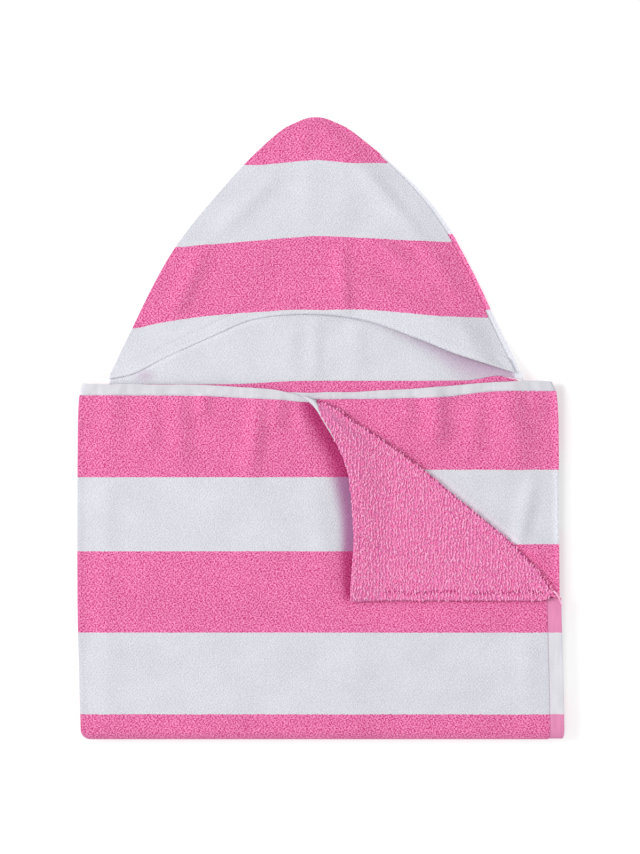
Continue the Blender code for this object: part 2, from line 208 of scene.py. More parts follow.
def stripes_above(edges: Sequence[Knot], y: Number) -> np.ndarray:
    """Count of stripes above a height on the plan, even between one edge and the next."""
    return np.interp(y, *np.array(sorted(edges)).T)


def span_edge(spans: Sequence[Span], edge: Edge, y: Number) -> np.ndarray:
    """Place across of the outline's left or right edge at a height on the plan."""
    return follow([Knot(span.y, getattr(span, edge.value)) for span in spans], y)


def smoothstep(start: float, end: float, value: Number) -> np.ndarray:
    """Zero before start, one after end, and a soft rise between them."""
    share = np.clip((np.asarray(value, dtype=float) - start) / (end - start), 0.0, 1.0)
    return share * share * (3.0 - 2.0 * share)


def lerp(start: Number, end: Number, share: Number) -> Number:
    """Value that lies at a share of the way from start to end."""
    return start + (end - start) * share


def bell(distance: Number, width: float) -> Number:
    """One at no distance, fading softly to nothing at about twice the width."""
    return np.exp(-((distance / width) ** 2))


def creased(x: Number, y: Number, creases: Sequence[Crease]) -> np.ndarray:
    """Height that soft ridges and troughs add at places on the plan."""
    rise = np.zeros(np.broadcast(x, y).shape)
    for c in creases:
        dx, dy = c.x1 - c.x0, c.y1 - c.y0
        length = math.hypot(dx, dy)
        along = ((x - c.x0) * dx + (y - c.y0) * dy) / length**2
        aside = ((x - c.x0) * dy - (y - c.y0) * dx) / length
        fade = smoothstep(-0.25, 0.3, along) * (1 - smoothstep(0.7, 1.25, along))
        rise += c.rise * bell(aside, c.width) * fade
    return rise


def layer_middle(layer: int, wall: float = WALL) -> float:
    """Height of the middle of a wall that lies at the bottom of a layer."""
    return layer * PITCH + wall / 2


def steps(start: float, end: float, spacing: float) -> np.ndarray:
    """Even steps from start to end, about one spacing apart, with both ends."""
    return np.linspace(start, end, max(int(round(abs(end - start) / spacing)), 1) + 1)


def body_place(x: Number, y: Number, z: Number, turn: Number = 0.0) -> np.ndarray:
    """Points of the folded body, drawn in at its corners and turned round the fold in half.

    Args:
        x: Places across the body as if it were as wide all the way.
        y: Heights on the plan, above the fold in half.
        z: Heights above the surface before the turn.
        turn: Angles round the fold in half, in radians.

    Returns:
        The points, in millimetres, with the coordinates last.
    """
    x, y, z, turn = np.broadcast_arrays(np.asarray(x, float), y, z, turn)
    height = z - HALF_FOLD_HEIGHT
    turned_y = y - height * np.sin(turn)
    past_fold = np.maximum(HALF_FOLD_Y - turned_y, 0.0) / HALF_FOLD_HEIGHT
    left = np.abs(span_edge(BODY_SPANS, Edge.LEFT, y)) - LEFT_DRAWN_IN * BODY_HALF_WIDTH * past_fold**2
    right = span_edge(BODY_SPANS, Edge.RIGHT, y) - RIGHT_DRAWN_IN * BODY_HALF_WIDTH * past_fold**2
    drawn = np.where(x < 0, left, right) / BODY_HALF_WIDTH - 1.0
    placed = x + x * drawn * smoothstep(OUTLINE_FROM, OUTLINE_FULL, np.abs(x))
    return np.stack([placed, turned_y, HALF_FOLD_HEIGHT + height * np.cos(turn)], axis=-1)


def add_object(name: str, data: bpy.types.ID) -> bpy.types.Object:
    """Puts an object with its data into the scene."""
    made = bpy.data.objects.new(name, data)
    bpy.context.scene.collection.objects.link(made)
    return made


def add_mesh(name: str, points: np.ndarray, edges: Sequence, faces: Sequence) -> bpy.types.Mesh:
    """Makes a mesh from points in millimetres, with the coordinates last, and its edges or faces."""
    mesh = bpy.data.meshes.new(name)
    mesh.from_pydata((points.reshape(-1, 3) * MM).tolist(), edges, faces)
    return mesh


def tube_faces(rings: int, sides: int, flip: bool = False) -> list[tuple[int, ...]]:
    """Faces of a closed tube: the squares between its rings of points, and one face at each end.

    Args:
        rings: How many rings there are.
        sides: How many points a ring has.
        flip: Whether the faces look the other way.

    Returns:
        The corner numbers of each face.
    """
    squares = []
    for low in range(0, (rings - 1) * sides, sides):
        high = low + sides
        for j in range(sides):
            ahead = (j + 1) % sides
            square = (low + j, low + ahead, high + ahead, high + j)
            squares.append((square[0], *square[:0:-1]) if flip else square)
    ends = [tuple(reversed(range(sides))), tuple(range((rings - 1) * sides, rings * sides))]
    return squares + [end[::-1] if flip else end for end in ends]


def plain(piece: bpy.types.Object) -> bpy.types.Object:
    """Turns a piece's evaluated shape into its own plain mesh, with no modifier left."""
    graph = bpy.context.evaluated_depsgraph_get()
    evaluated = piece.evaluated_get(graph)
    mesh = bpy.data.meshes.new_from_object(evaluated, preserve_all_data_layers=True, depsgraph=graph)
    piece.modifiers.clear()
    old = piece.data
    piece.data = mesh
    mesh.name = piece.name
    bpy.data.meshes.remove(old)
    mesh.shade_smooth()
    return piece


def linear(hex_colour: str) -> tuple[float, float, float, float]:
    """Linear colour with full alpha from sRGB hex such as "#ea78ac"."""
    channels = [int(hex_colour[i : i + 2], 16) / 255 for i in (1, 3, 5)]
    light = [c / 12.92 if c <= 0.04045 else ((c + 0.055) / 1.055) ** 2.4 for c in channels]
    return (*light, 1.0)


@dataclass
class Wiring:
    """The nodes of one tree, which are added and linked one at a time."""

    tree: bpy.types.NodeTree

    def node(
        self, kind: str, settings: dict[str, object] | None = None, *feeds: object, **named: object
    ) -> bpy.types.Node:
        """Adds one node.

        Args:
            kind: The node's type name.
            settings: Its properties by name.
            feeds: What its inputs get in their order: a socket, a value, or None to leave one as it is.
            named: What more inputs get, by their names with _ for a space.

        Returns:
            The new node.
        """
        node = self.tree.nodes.new(kind)
        for name, value in (settings or {}).items():
            setattr(node, name, value)
        for index, feed in enumerate(feeds):
            if feed is not None:
                self.feed(node.inputs[index], feed)
        for name, feed in named.items():
            self.feed(node.inputs[name.replace("_", " ")], feed)
        return node

    def feed(self, target: Socket, feed: object) -> None:
        """Links a socket to an input, or sets the input to a value."""
        if isinstance(feed, Socket):
            self.tree.links.new(feed, target)
        else:
            target.default_value = feed

    def out(
        self, kind: str, settings: dict[str, object] | None = None, *feeds: object, **named: object
    ) -> Socket:
        """First output of a new node, which is given as for node."""
        return self.node(kind, settings, *feeds, **named).outputs[0]

    def maths(self, operation: str, *values: object) -> Socket:
        """Result of an operation on numbers, each a socket or a value."""
        return self.out("ShaderNodeMath", {"operation": operation}, *values)

    def vector(self, operation: str, *values: object, **named: object) -> Socket:
        """Result of an operation on vectors, each a socket or a value."""
        return self.out("ShaderNodeVectorMath", {"operation": operation}, *values, **named)

    def mapped(self, value: Socket, start: float, end: float, low: float = 0.0, high: float = 1.0) -> Socket:
        """Value carried from the range start to end over to the range low to high, and held in it."""
        return self.out("ShaderNodeMapRange", None, value, start, end, low, high)

    def noise(self, scale: float, detail: float, place: Socket, output: str = "Fac") -> Socket:
        """Soft noise at a place."""
        return self.node("ShaderNodeTexNoise", None, Scale=scale, Detail=detail, Vector=place).outputs[output]

    def uv(self, name: str) -> Socket:
        """Place on one of the piece's UV maps."""
        return self.out("ShaderNodeUVMap", {"uv_map": name})

    def part(self, vector: Socket, axis: str) -> Socket:
        """One coordinate of a vector."""
        return self.node("ShaderNodeSeparateXYZ", None, vector).outputs[axis]

    def joined(self, **parts: Socket) -> Socket:
        """Vector from its coordinates X, Y and Z, zero where one is left out."""
        return self.out("ShaderNodeCombineXYZ", None, **parts)

    def mixed(self, share: Socket, low: object, high: object, blend: str = "MIX") -> Socket:
        """Colour between two, each a linear colour or a socket, by a share."""
        settings = {"data_type": "RGBA", "blend_type": blend}
        unused = [None] * 5
        return self.node("ShaderNodeMix", settings, share, *unused, low, high).outputs[2]

    def white_stripe(self, weave: Socket, uneven: float) -> Socket:
        """One on a white stripe and zero on a pink one, with an edge as uneven as the pile.

        Args:
            weave: The place on the cloth's own plane.
            uneven: How far the edge is pushed about, as a share of a stripe.

        Returns:
            The socket with the answer.
        """
        height = self.part(self.uv("stripes"), "Y")
        jitter = self.maths("MULTIPLY_ADD", self.noise(650.0, 1.0, weave), uneven, height)
        half = self.maths("MULTIPLY", self.maths("SUBTRACT", jitter, uneven / 2), 0.5)
        return self.maths("GREATER_THAN", self.maths("FRACT", half), 0.5)


@dataclass(frozen=True)
class Finish:
    """A matte cotton: what all of its kinds share. Each kind adds its pattern.

    Attributes:
        name: Name of the material.
        roughness: Roughness of the surface.
        specular: How much it shines.
        sheen: Weight of the light that its fibres catch.
        sheen_roughness: How widely they scatter it.
        bump: How strongly the relief shows.
        bump_mm: Height of the relief.
    """

    name: str
    roughness: float = 0.9
    specular: float = 0.12
    sheen: float = 0.1
    sheen_roughness: float = 0.5
    bump: float = 0.4
    bump_mm: float = 0.2

    def build(self) -> bpy.types.Material:
        """Makes the material, on the UV map "weave", the cloth's own plane in metres."""
        material = bpy.data.materials.new(self.name)
        material.use_nodes = True
        n = Wiring(material.node_tree)
        colour, relief = self.pattern(n, n.uv("weave"))
        normal = n.out("ShaderNodeBump", None, Strength=self.bump, Distance=self.bump_mm * MM, Height=relief)
        shader = material.node_tree.nodes["Principled BSDF"]
        for name, feed in {
            "Base Color": colour,
            "Normal": normal,
            "Roughness": self.roughness,
            "Specular IOR Level": self.specular,
            "Sheen Weight": self.sheen,
            "Sheen Roughness": self.sheen_roughness,
        }.items():
            n.feed(shader.inputs[name], feed)
        return material

    def pattern(self, n: Wiring, weave: Socket) -> tuple[Socket, Socket]:
        """Colour and relief of the cloth.

        Args:
            n: The material's nodes.
            weave: The place on the cloth's own plane.

        Returns:
            The sockets with the colour and with the relief's height.
        """
        raise NotImplementedError


@dataclass(frozen=True)
class TerryFinish(Finish):
    """Cotton terry with loops in staggered rows: matte, with a light sheen and painted shade in the gaps
    between the loops.

    The stripes are read from the UV map "stripes", whose height counts them: the first is the pink one.
    Its width is painted shade beside folds and under lifted edges; another UV map holds painted light at
    folds and edges, and painted shade where it is below zero.
    """

    roughness: float = 0.95
    specular: float = 0.15
    sheen: float = 0.2
    sheen_roughness: float = 0.45
    bump: float = 0.7
    bump_mm: float = 0.6
    # tips and gaps of the pile: the deeper gap colours are painted shade between the loops
    pink_tip: str = "#ff9aca"
    pink_gap_shade: str = "#c32975"
    white_tip: str = "#e1e2e8"
    white_gap_shade: str = "#cccdd6"
    # colour of the painted shade beside folds and under lifted edges
    pressed_and_painted_shade: str = "#d490bd"
    loop_mm: tuple[float, float] = (3.3, 4.3)
    loop_push: tuple[float, float, float] = (0.005, 0.006, 0.0)
    fibre_mm: float = 1.0
    fibre_share: float = 0.65
    patches_per_m: float = 28.0
    striped: bool = True
    edge_jitter: float = 0.02

    def pattern(self, n: Wiring, weave: Socket) -> tuple[Socket, Socket]:
        """Colour of the stripes with painted shade between the loops, painted light and painted shade from
        the UV maps, and the pile's height.
        """
        pile = self._pile(n, weave)
        # painted shade between the loops: deeper colour where the pile is low, paler on its tips
        depth = n.mapped(pile, 0.24, 0.76)
        colour = n.mixed(depth, linear(self.pink_gap_shade), linear(self.pink_tip))
        if self.striped:
            white = n.mixed(depth, linear(self.white_gap_shade), linear(self.white_tip))
            colour = n.mixed(n.white_stripe(weave, self.edge_jitter), colour, white)
        patchy = n.mapped(n.noise(self.patches_per_m, 2.0, weave), 0.3, 0.7, 0.96, 1.03)
        # painted light at folds and edges, from its UV map, on the random patches
        patchy_painted_light = n.maths("MULTIPLY_ADD", n.part(n.uv("opened"), "X"), patchy, patchy)
        even = n.vector("SCALE", colour, Scale=patchy_painted_light)
        # painted shade beside folds and under lifted edges, from the width of the stripes map
        pressed_and_painted_shade = n.part(n.uv("stripes"), "X")
        return n.mixed(pressed_and_painted_shade, even, linear(self.pressed_and_painted_shade), blend="MULTIPLY"), pile

    def _pile(self, n: Wiring, weave: Socket) -> Socket:
        """Height of the pile from zero to one: staggered loops pushed about, and the fibres between them."""
        moved = n.vector("MULTIPLY_ADD", n.noise(300.0, 1.0, weave, "Color"), self.loop_push, weave)
        waves = [
            n.maths("SINE", n.maths("MULTIPLY", n.part(moved, axis), math.tau / (pitch * MM)))
            for axis, pitch in zip("XY", self.loop_mm)
        ]
        crowns = n.mapped(n.maths("MULTIPLY", *waves), -1.0, 1.0)
        fine = n.mapped(n.noise(1000.0 / self.fibre_mm, 1.0, weave), 0.3, 0.7)
        return n.out("ShaderNodeMix", {"data_type": "FLOAT"}, self.fibre_share, None, crowns, fine)


@dataclass(frozen=True)
class LoopFinish(Finish):
    """Twisted cotton yarn of the long loops: matte, each loop a little lighter or darker than the next."""

    pale: str = "#ffb8dc"
    deep: str = "#fb84bf"
    patch_mm: float = 3.0
    twist_mm: float = 0.5

    def pattern(self, n: Wiring, weave: Socket) -> tuple[Socket, Socket]:
        """Colour in small patches, and the relief of the yarn's twist."""
        share = n.mapped(n.noise(1000.0 / self.patch_mm, 1.0, weave), 0.35, 0.65)
        twist = n.noise(1000.0 / self.twist_mm, 1.0, weave)
        return n.mixed(share, linear(self.deep), linear(self.pale)), twist


@dataclass(frozen=True)
class HemFinish(Finish):
    """Flat-woven cotton: fine ribs with no pile, paler than the terry where it is dyed."""

    roughness: float = 0.85
    specular: float = 0.25
    sheen: float = 0.0
    bump: float = 0.5
    bump_mm: float = 0.3
    pink: str = "#e18bb5"
    white: str = "#dbdae1"
    rib_mm: float = 1.6
    pucker: float = 1.6
    puckers_per_m: tuple[float, float, float] = (230.0, 45.0, 0.0)
    striped: bool = False
    edge_jitter: float = 0.02

    def pattern(self, n: Wiring, weave: Socket) -> tuple[Socket, Socket]:
        """Colour with painted shade in the hollows of the weave and its puckers, and the relief of ribs,
        threads and puckers.
        """
        # the texture has 20 bands in 6.28 metres at a scale of one
        scale = 1000.0 / self.rib_mm / 20.0 * 6.28
        bands = {"wave_type": "BANDS", "bands_direction": "Y"}
        wave = n.node("ShaderNodeTexWave", bands, Vector=weave, Scale=scale, Distortion=1.2, Detail=1.0)
        puckers = n.noise(1.0, 1.0, n.vector("MULTIPLY", weave, self.puckers_per_m))
        uneven = n.maths("MULTIPLY_ADD", puckers, self.pucker, n.noise(900.0, 2.0, weave))
        relief = n.maths("MULTIPLY_ADD", wave.outputs["Fac"], 0.4, uneven)
        # painted shade: darker in the hollows of ribs, threads and puckers, paler on their ridges
        shade = n.mapped(relief, 0.9, 2.0, 0.9, 1.06)
        colour: object = linear(self.white)[:3]
        if self.striped:
            white = n.white_stripe(weave, self.edge_jitter)
            colour = n.mixed(white, linear(self.pink), linear(self.white))
        return n.vector("SCALE", colour, Scale=shade), relief


@dataclass
class Cloth:
    """A stretch of cloth as a grid of points on its middle, which becomes one closed wall.

    Attributes:
        name: Name of the piece.
        points: Rows by columns by three, in millimetres.
        stripes: Rows by columns, the count of stripes from the first pink one.
        wall: Thickness in millimetres.
        keep: Rows less one by columns less one, true where the square is cloth.
        rim: Radius of the rounded free edges, in millimetres.
        flip: True where the rows run down the plan, so that the normals still point outward.
        flat_rows: How many rows lie on the plan before the others go round a fold; none if all do.
        shade: Rows by columns, painted shade: how much deeper the colour is painted beside folds and under
            lifted edges, from 0 to 1.
        opened: Rows by columns, painted light: how much paler the colour is painted at folds and edges, below
            0 painted shade.
    """

    name: str
    points: np.ndarray
    stripes: np.ndarray
    wall: float = WALL
    keep: np.ndarray | None = None
    rim: float = 1.0
    flip: bool = False
    flat_rows: int | None = None
    shade: np.ndarray | None = None
    opened: np.ndarray | None = None

    def area(self) -> float:
        """Area of the whole grid in square metres."""
        p = self.points * MM
        cross = np.cross(p[1:, 1:] - p[:-1, :-1], p[1:, :-1] - p[:-1, 1:])
        return float((np.linalg.norm(cross, axis=-1) / 2).sum())

    def plane(self) -> tuple[np.ndarray, np.ndarray]:
        """Places of the grid's points on the cloth's own plane, across and along, in millimetres.

        The first flat_rows lie on the plan and the others go round a fold. With none given, all lie on it.
        """
        along = -self.points[..., 1]
        if self.flat_rows is None:
            return self.points[..., 0], along
        start = self.points[:, :1, 0]
        steps_across = np.linalg.norm(np.diff(self.points, axis=1), axis=-1)
        across = np.concatenate([start, start + np.cumsum(steps_across, axis=1)], axis=1)
        steps_along = np.linalg.norm(np.diff(self.points[self.flat_rows - 1 :], axis=0), axis=-1)
        along[self.flat_rows :] = along[self.flat_rows - 1] + np.cumsum(steps_along, axis=0)
        return across, along

    def build(self, *finishes: bpy.types.Material) -> bpy.types.Object:
        """Makes the wall.

        Args:
            finishes: The materials of the cloth's face and, if there is a second, of its reverse and edges.

        Returns:
            The piece, a closed mesh with the UV maps "stripes", whose width is the painted shade, "weave",
            and one of painted light.
        """
        quads = grid_quads(self.points)
        quads = quads[self.keep] if self.keep is not None else quads.reshape(-1, 4)
        if self.flip:
            quads = quads[:, ::-1]
        across, along = self.plane()
        still = np.zeros(self.points.shape[:2])
        shade = still if self.shade is None else self.shade
        opened = still if self.opened is None else self.opened
        used, flat = np.unique(quads, return_inverse=True)
        quads = flat.reshape(-1, 4)
        mesh = add_mesh(self.name, self.points.reshape(-1, 3)[used], [], quads.tolist())
        # the stripes map's width carries the painted shade, a third map the painted light
        for name, columns, scale in (
            ("stripes", (shade, self.stripes), 1.0),
            ("weave", (across, along), MM),
            ("opened", (opened, still), 1.0),
        ):
            values = np.stack([column.reshape(-1)[used] for column in columns], axis=-1) * scale
            layer = mesh.uv_layers.new(name=name)
            layer.data.foreach_set("uv", values[quads.reshape(-1)].astype(np.float32).reshape(-1))
        for finish in finishes:
            mesh.materials.append(finish)
        piece = add_object(self.name, mesh)
        solidify = piece.modifiers.new("Wall", "SOLIDIFY")
        solidify.thickness = self.wall * MM
        solidify.offset = 0.0
        solidify.material_offset = solidify.material_offset_rim = 1 if len(finishes) > 1 else 0
        bevel = piece.modifiers.new("Rim", "BEVEL")
        bevel.width = self.rim * MM
        bevel.segments = 3
        bevel.limit_method = "ANGLE"
        bevel.angle_limit = math.radians(62.0)
        bevel.use_clamp_overlap = True
        return plain(piece)


def grid_quads(points: np.ndarray) -> np.ndarray:
    """Corner numbers of each square of a grid of points, rows less one by columns less one by four."""
    index = np.arange(points.shape[0] * points.shape[1]).reshape(points.shape[:2])
    return np.stack([index[:-1, :-1], index[:-1, 1:], index[1:, 1:], index[1:, :-1]], axis=-1)


@dataclass
class Repeated:
    """Something small that Geometry Nodes repeat over a mesh, and that ends up as one plain mesh.

    Attributes:
        name: Name of the piece.
        SIZES: Fields that the nodes get as inputs, in millimetres.
        OTHERS: The nodes' other inputs, each with its kind.
    """

    name: str

    SIZES: ClassVar[tuple[str, ...]] = ()
    OTHERS: ClassVar[dict[str, str]] = {}

    def placed(self, n: Wiring, given: bpy.types.bpy_prop_collection) -> Socket:
        """Instances at all their places.

        Args:
            n: The nodes.
            given: The group's inputs: "Base", the sizes and the others.

        Returns:
            The socket with the instances.
        """
        raise NotImplementedError

    def tree(self, finish: bpy.types.Material) -> bpy.types.NodeTree:
        """Makes the node tree, which realizes the instances and gives them their weave and material."""
        group = bpy.data.node_groups.new(f"{self.name}_nodes", "GeometryNodeTree")
        kinds = {"Base": "Geometry"} | {size.title(): "Float" for size in self.SIZES} | self.OTHERS
        for label, kind in kinds.items():
            group.interface.new_socket(label, in_out="INPUT", socket_type=f"NodeSocket{kind}")
        group.interface.new_socket("Dressed", in_out="OUTPUT", socket_type="NodeSocketGeometry")
        n = Wiring(group)
        real = n.out("GeometryNodeRealizeInstances", None, self.placed(n, n.node("NodeGroupInput").outputs))
        smooth = n.out("GeometryNodeSetShadeSmooth", None, real)
        kept = {"data_type": "FLOAT2", "domain": "CORNER"}
        place = n.out("GeometryNodeInputPosition")
        named = n.out("GeometryNodeStoreNamedAttribute", kept, smooth, Name="weave", Value=place)
        n.node("NodeGroupOutput", None, n.out("GeometryNodeSetMaterial", None, named, Material=finish))
        return group

    def dress(self, mesh: bpy.types.Mesh, finish: bpy.types.Material, **others: object) -> bpy.types.Object:
        """Makes the piece.

        Args:
            mesh: What the instances are put on.
            finish: Their material.
            others: Values of the nodes' other inputs.

        Returns:
            The instances as one plain mesh.
        """
        piece = add_object(self.name, mesh)
        repeat = piece.modifiers.new("Repeat", "NODES")
        repeat.node_group = self.tree(finish)
        identifiers = {item.name: item.identifier for item in repeat.node_group.interface.items_tree}
        sizes = {size.title(): getattr(self, size) * MM for size in self.SIZES}
        for label, value in (sizes | others).items():
            repeat[identifiers[label]] = value
        return plain(piece)

    @staticmethod
    def arch(n: Wiring, length: Socket, peak: Socket, radius: Socket, sides: int, capped: bool) -> Socket:
        """A short length of yarn that arches along Y.

        Args:
            n: The nodes.
            length: From one foot to the other.
            peak: Twice the height of the arch.
            radius: The yarn's radius.
            sides: Corners of its section.
            capped: Whether its ends are closed.

        Returns:
            The socket with the mesh.
        """
        half = n.maths("MULTIPLY", length, 0.5)
        start, middle, end = n.joined(Y=n.maths("MULTIPLY", half, -1.0)), n.joined(Z=peak), n.joined(Y=half)
        run = n.out(
            "GeometryNodeCurveQuadraticBezier", None, Resolution=4, Start=start, Middle=middle, End=end
        )
        ring = n.out("GeometryNodeCurvePrimitiveCircle", None, Resolution=sides, Radius=radius)
        return n.out("GeometryNodeCurveToMesh", None, Curve=run, Profile_Curve=ring, Fill_Caps=capped)


@dataclass
class LoopPile(Repeated):
    """Cotton loops that stand in uneven columns on a stretch of cloth.

    Attributes:
        column: Distance between two columns of loops, in millimetres.
        row: Distance between two loops of a column, in millimetres.
        length: Length of a loop along its column, in millimetres.
        height: Height of a loop above the cloth, in millimetres.
        yarn: Radius of a loop's yarn, in millimetres.
        push: How far a loop is from its place, in millimetres.
        wander: How far a column bends, in millimetres.
        bends_per_m: How often it bends.
        spread: How far a loop turns on the cloth, in radians.
        lean: How far a loop leans over, in radians.
        sizes: The smallest and the largest loop, as shares.
        above: Height from which the places are looked for on the cloth, in millimetres.
        seed: Seed for the places and turns.
    """

    column: float = 2.7
    row: float = 1.55
    length: float = 2.0
    height: float = 0.8
    yarn: float = 0.56
    push: float = 1.0
    wander: float = 5.0
    bends_per_m: float = 28.0
    spread: float = 0.45
    lean: float = 0.3
    sizes: tuple[float, float] = (0.8, 1.15)
    above: float = 40.0
    seed: int = 7

    SIZES: ClassVar = ("length", "height", "yarn", "push", "wander")
    OTHERS: ClassVar = {
        "Spread": "Float", "Columns": "Int", "Rows": "Int", "Middle": "Vector", "Extent": "Vector"
    }

    def placed(self, n: Wiring, given: bpy.types.bpy_prop_collection) -> Socket:
        """Loops on a grid that is pushed about and dropped on the cloth, each turned and sized by chance."""
        peak = n.maths("MULTIPLY", given["Height"], 2.0)
        loop = self.arch(n, given["Length"], peak, given["Yarn"], sides=4, capped=False)
        size_x, size_y = (n.part(given["Extent"], axis) for axis in "XY")
        grid = n.out("GeometryNodeMeshGrid", None, size_x, size_y, given["Columns"], given["Rows"])
        place = n.out("GeometryNodeInputPosition")
        seeded = {"data_type": "FLOAT_VECTOR"}
        lowest = n.maths("MULTIPLY", given["Push"], -1.0)
        moved = n.out("FunctionNodeRandomValue", seeded, lowest, given["Push"], Seed=self.seed)
        bend = n.maths("MULTIPLY", n.noise(self.bends_per_m, 0.0, place), given["Wander"])
        for more in (n.joined(X=bend), given["Middle"]):
            moved = n.vector("ADD", moved, more)
        over = n.vector("ADD", place, moved)
        drop = {"Source_Position": over, "Ray_Direction": (0.0, 0.0, -1.0), "Ray_Length": 1.0}
        hit = n.node("GeometryNodeRaycast", None, Target_Geometry=given["Base"], **drop).outputs
        points = n.out(
            "GeometryNodeMeshToPoints", None, Mesh=grid, Selection=hit["Is Hit"], Position=hit["Hit Position"]
        )
        back = n.maths("MULTIPLY", given["Spread"], -1.0)
        single = {"data_type": "FLOAT"}
        spin, lean, size = (
            n.node("FunctionNodeRandomValue", single, None, None, low, high, Seed=seed).outputs[1]
            for seed, (low, high) in enumerate(
                ((back, given["Spread"]), (-self.lean, self.lean), self.sizes), self.seed + 1
            )
        )
        turn = n.joined(Y=lean, Z=spin)
        return n.out(
            "GeometryNodeInstanceOnPoints", None, Points=points, Instance=loop, Rotation=turn, Scale=size
        )

    def build(self, ground: np.ndarray, finish: bpy.types.Material) -> bpy.types.Object:
        """Makes the loops on a stretch of cloth.

        Args:
            ground: Rows by columns by three, the places of the cloth's surface in millimetres.
            finish: The material of the loops.

        Returns:
            The loops as one plain mesh.
        """
        quads = grid_quads(ground)[..., [0, 3, 2, 1]].reshape(-1, 4)
        low, high = ground.min(axis=(0, 1)), ground.max(axis=(0, 1))
        return self.dress(
            add_mesh(self.name, ground, [], quads.tolist()),
            finish,
            Spread=self.spread,
            Columns=int((high[0] - low[0]) / self.column) + 2,
            Rows=int((high[1] - low[1]) / self.row) + 2,
            Extent=[float(size) for size in (high - low + 2 * self.wander) * MM],
            Middle=[float(place) for place in ((low + high) / 2 + np.array([0.0, 0.0, self.above])) * MM],
        )


@dataclass
class StitchRow(Repeated):
    """A row of lock stitches along a seam.

    Attributes:
        pitch: Distance from one stitch to the next, in millimetres.
        length: Length of a stitch, in millimetres.
        thread: Radius of the thread, in millimetres.
    """

    pitch: float = 2.8
    length: float = 2.1
    thread: float = 0.28

    SIZES: ClassVar = ("pitch", "length", "thread")

    def placed(self, n: Wiring, given: bpy.types.bpy_prop_collection) -> Socket:
        """A stitch at each step of the seam, turned along it."""
        stitch = self.arch(n, given["Length"], given["Thread"], given["Thread"], sides=5, capped=True)
        seam = n.out("GeometryNodeMeshToCurve", None, given["Base"])
        spaced = {"mode": "LENGTH"}
        points = n.node("GeometryNodeCurveToPoints", spaced, Curve=seam, Length=given["Pitch"]).outputs
        along = n.out("FunctionNodeAlignRotationToVector", {"axis": "Y"}, Vector=points["Tangent"])
        return n.out(
            "GeometryNodeInstanceOnPoints", None, Points=points["Points"], Instance=stitch, Rotation=along
        )

    def build(self, seam: np.ndarray, finish: bpy.types.Material) -> bpy.types.Object:
        """Makes the stitches of a seam.

        Args:
            seam: The places along the seam, in millimetres.
            finish: The material of the thread.

        Returns:
            The stitches as one plain mesh.
        """
        edges = [(i, i + 1) for i in range(len(seam) - 1)]
        return self.dress(add_mesh(self.name, seam, edges, []), finish)


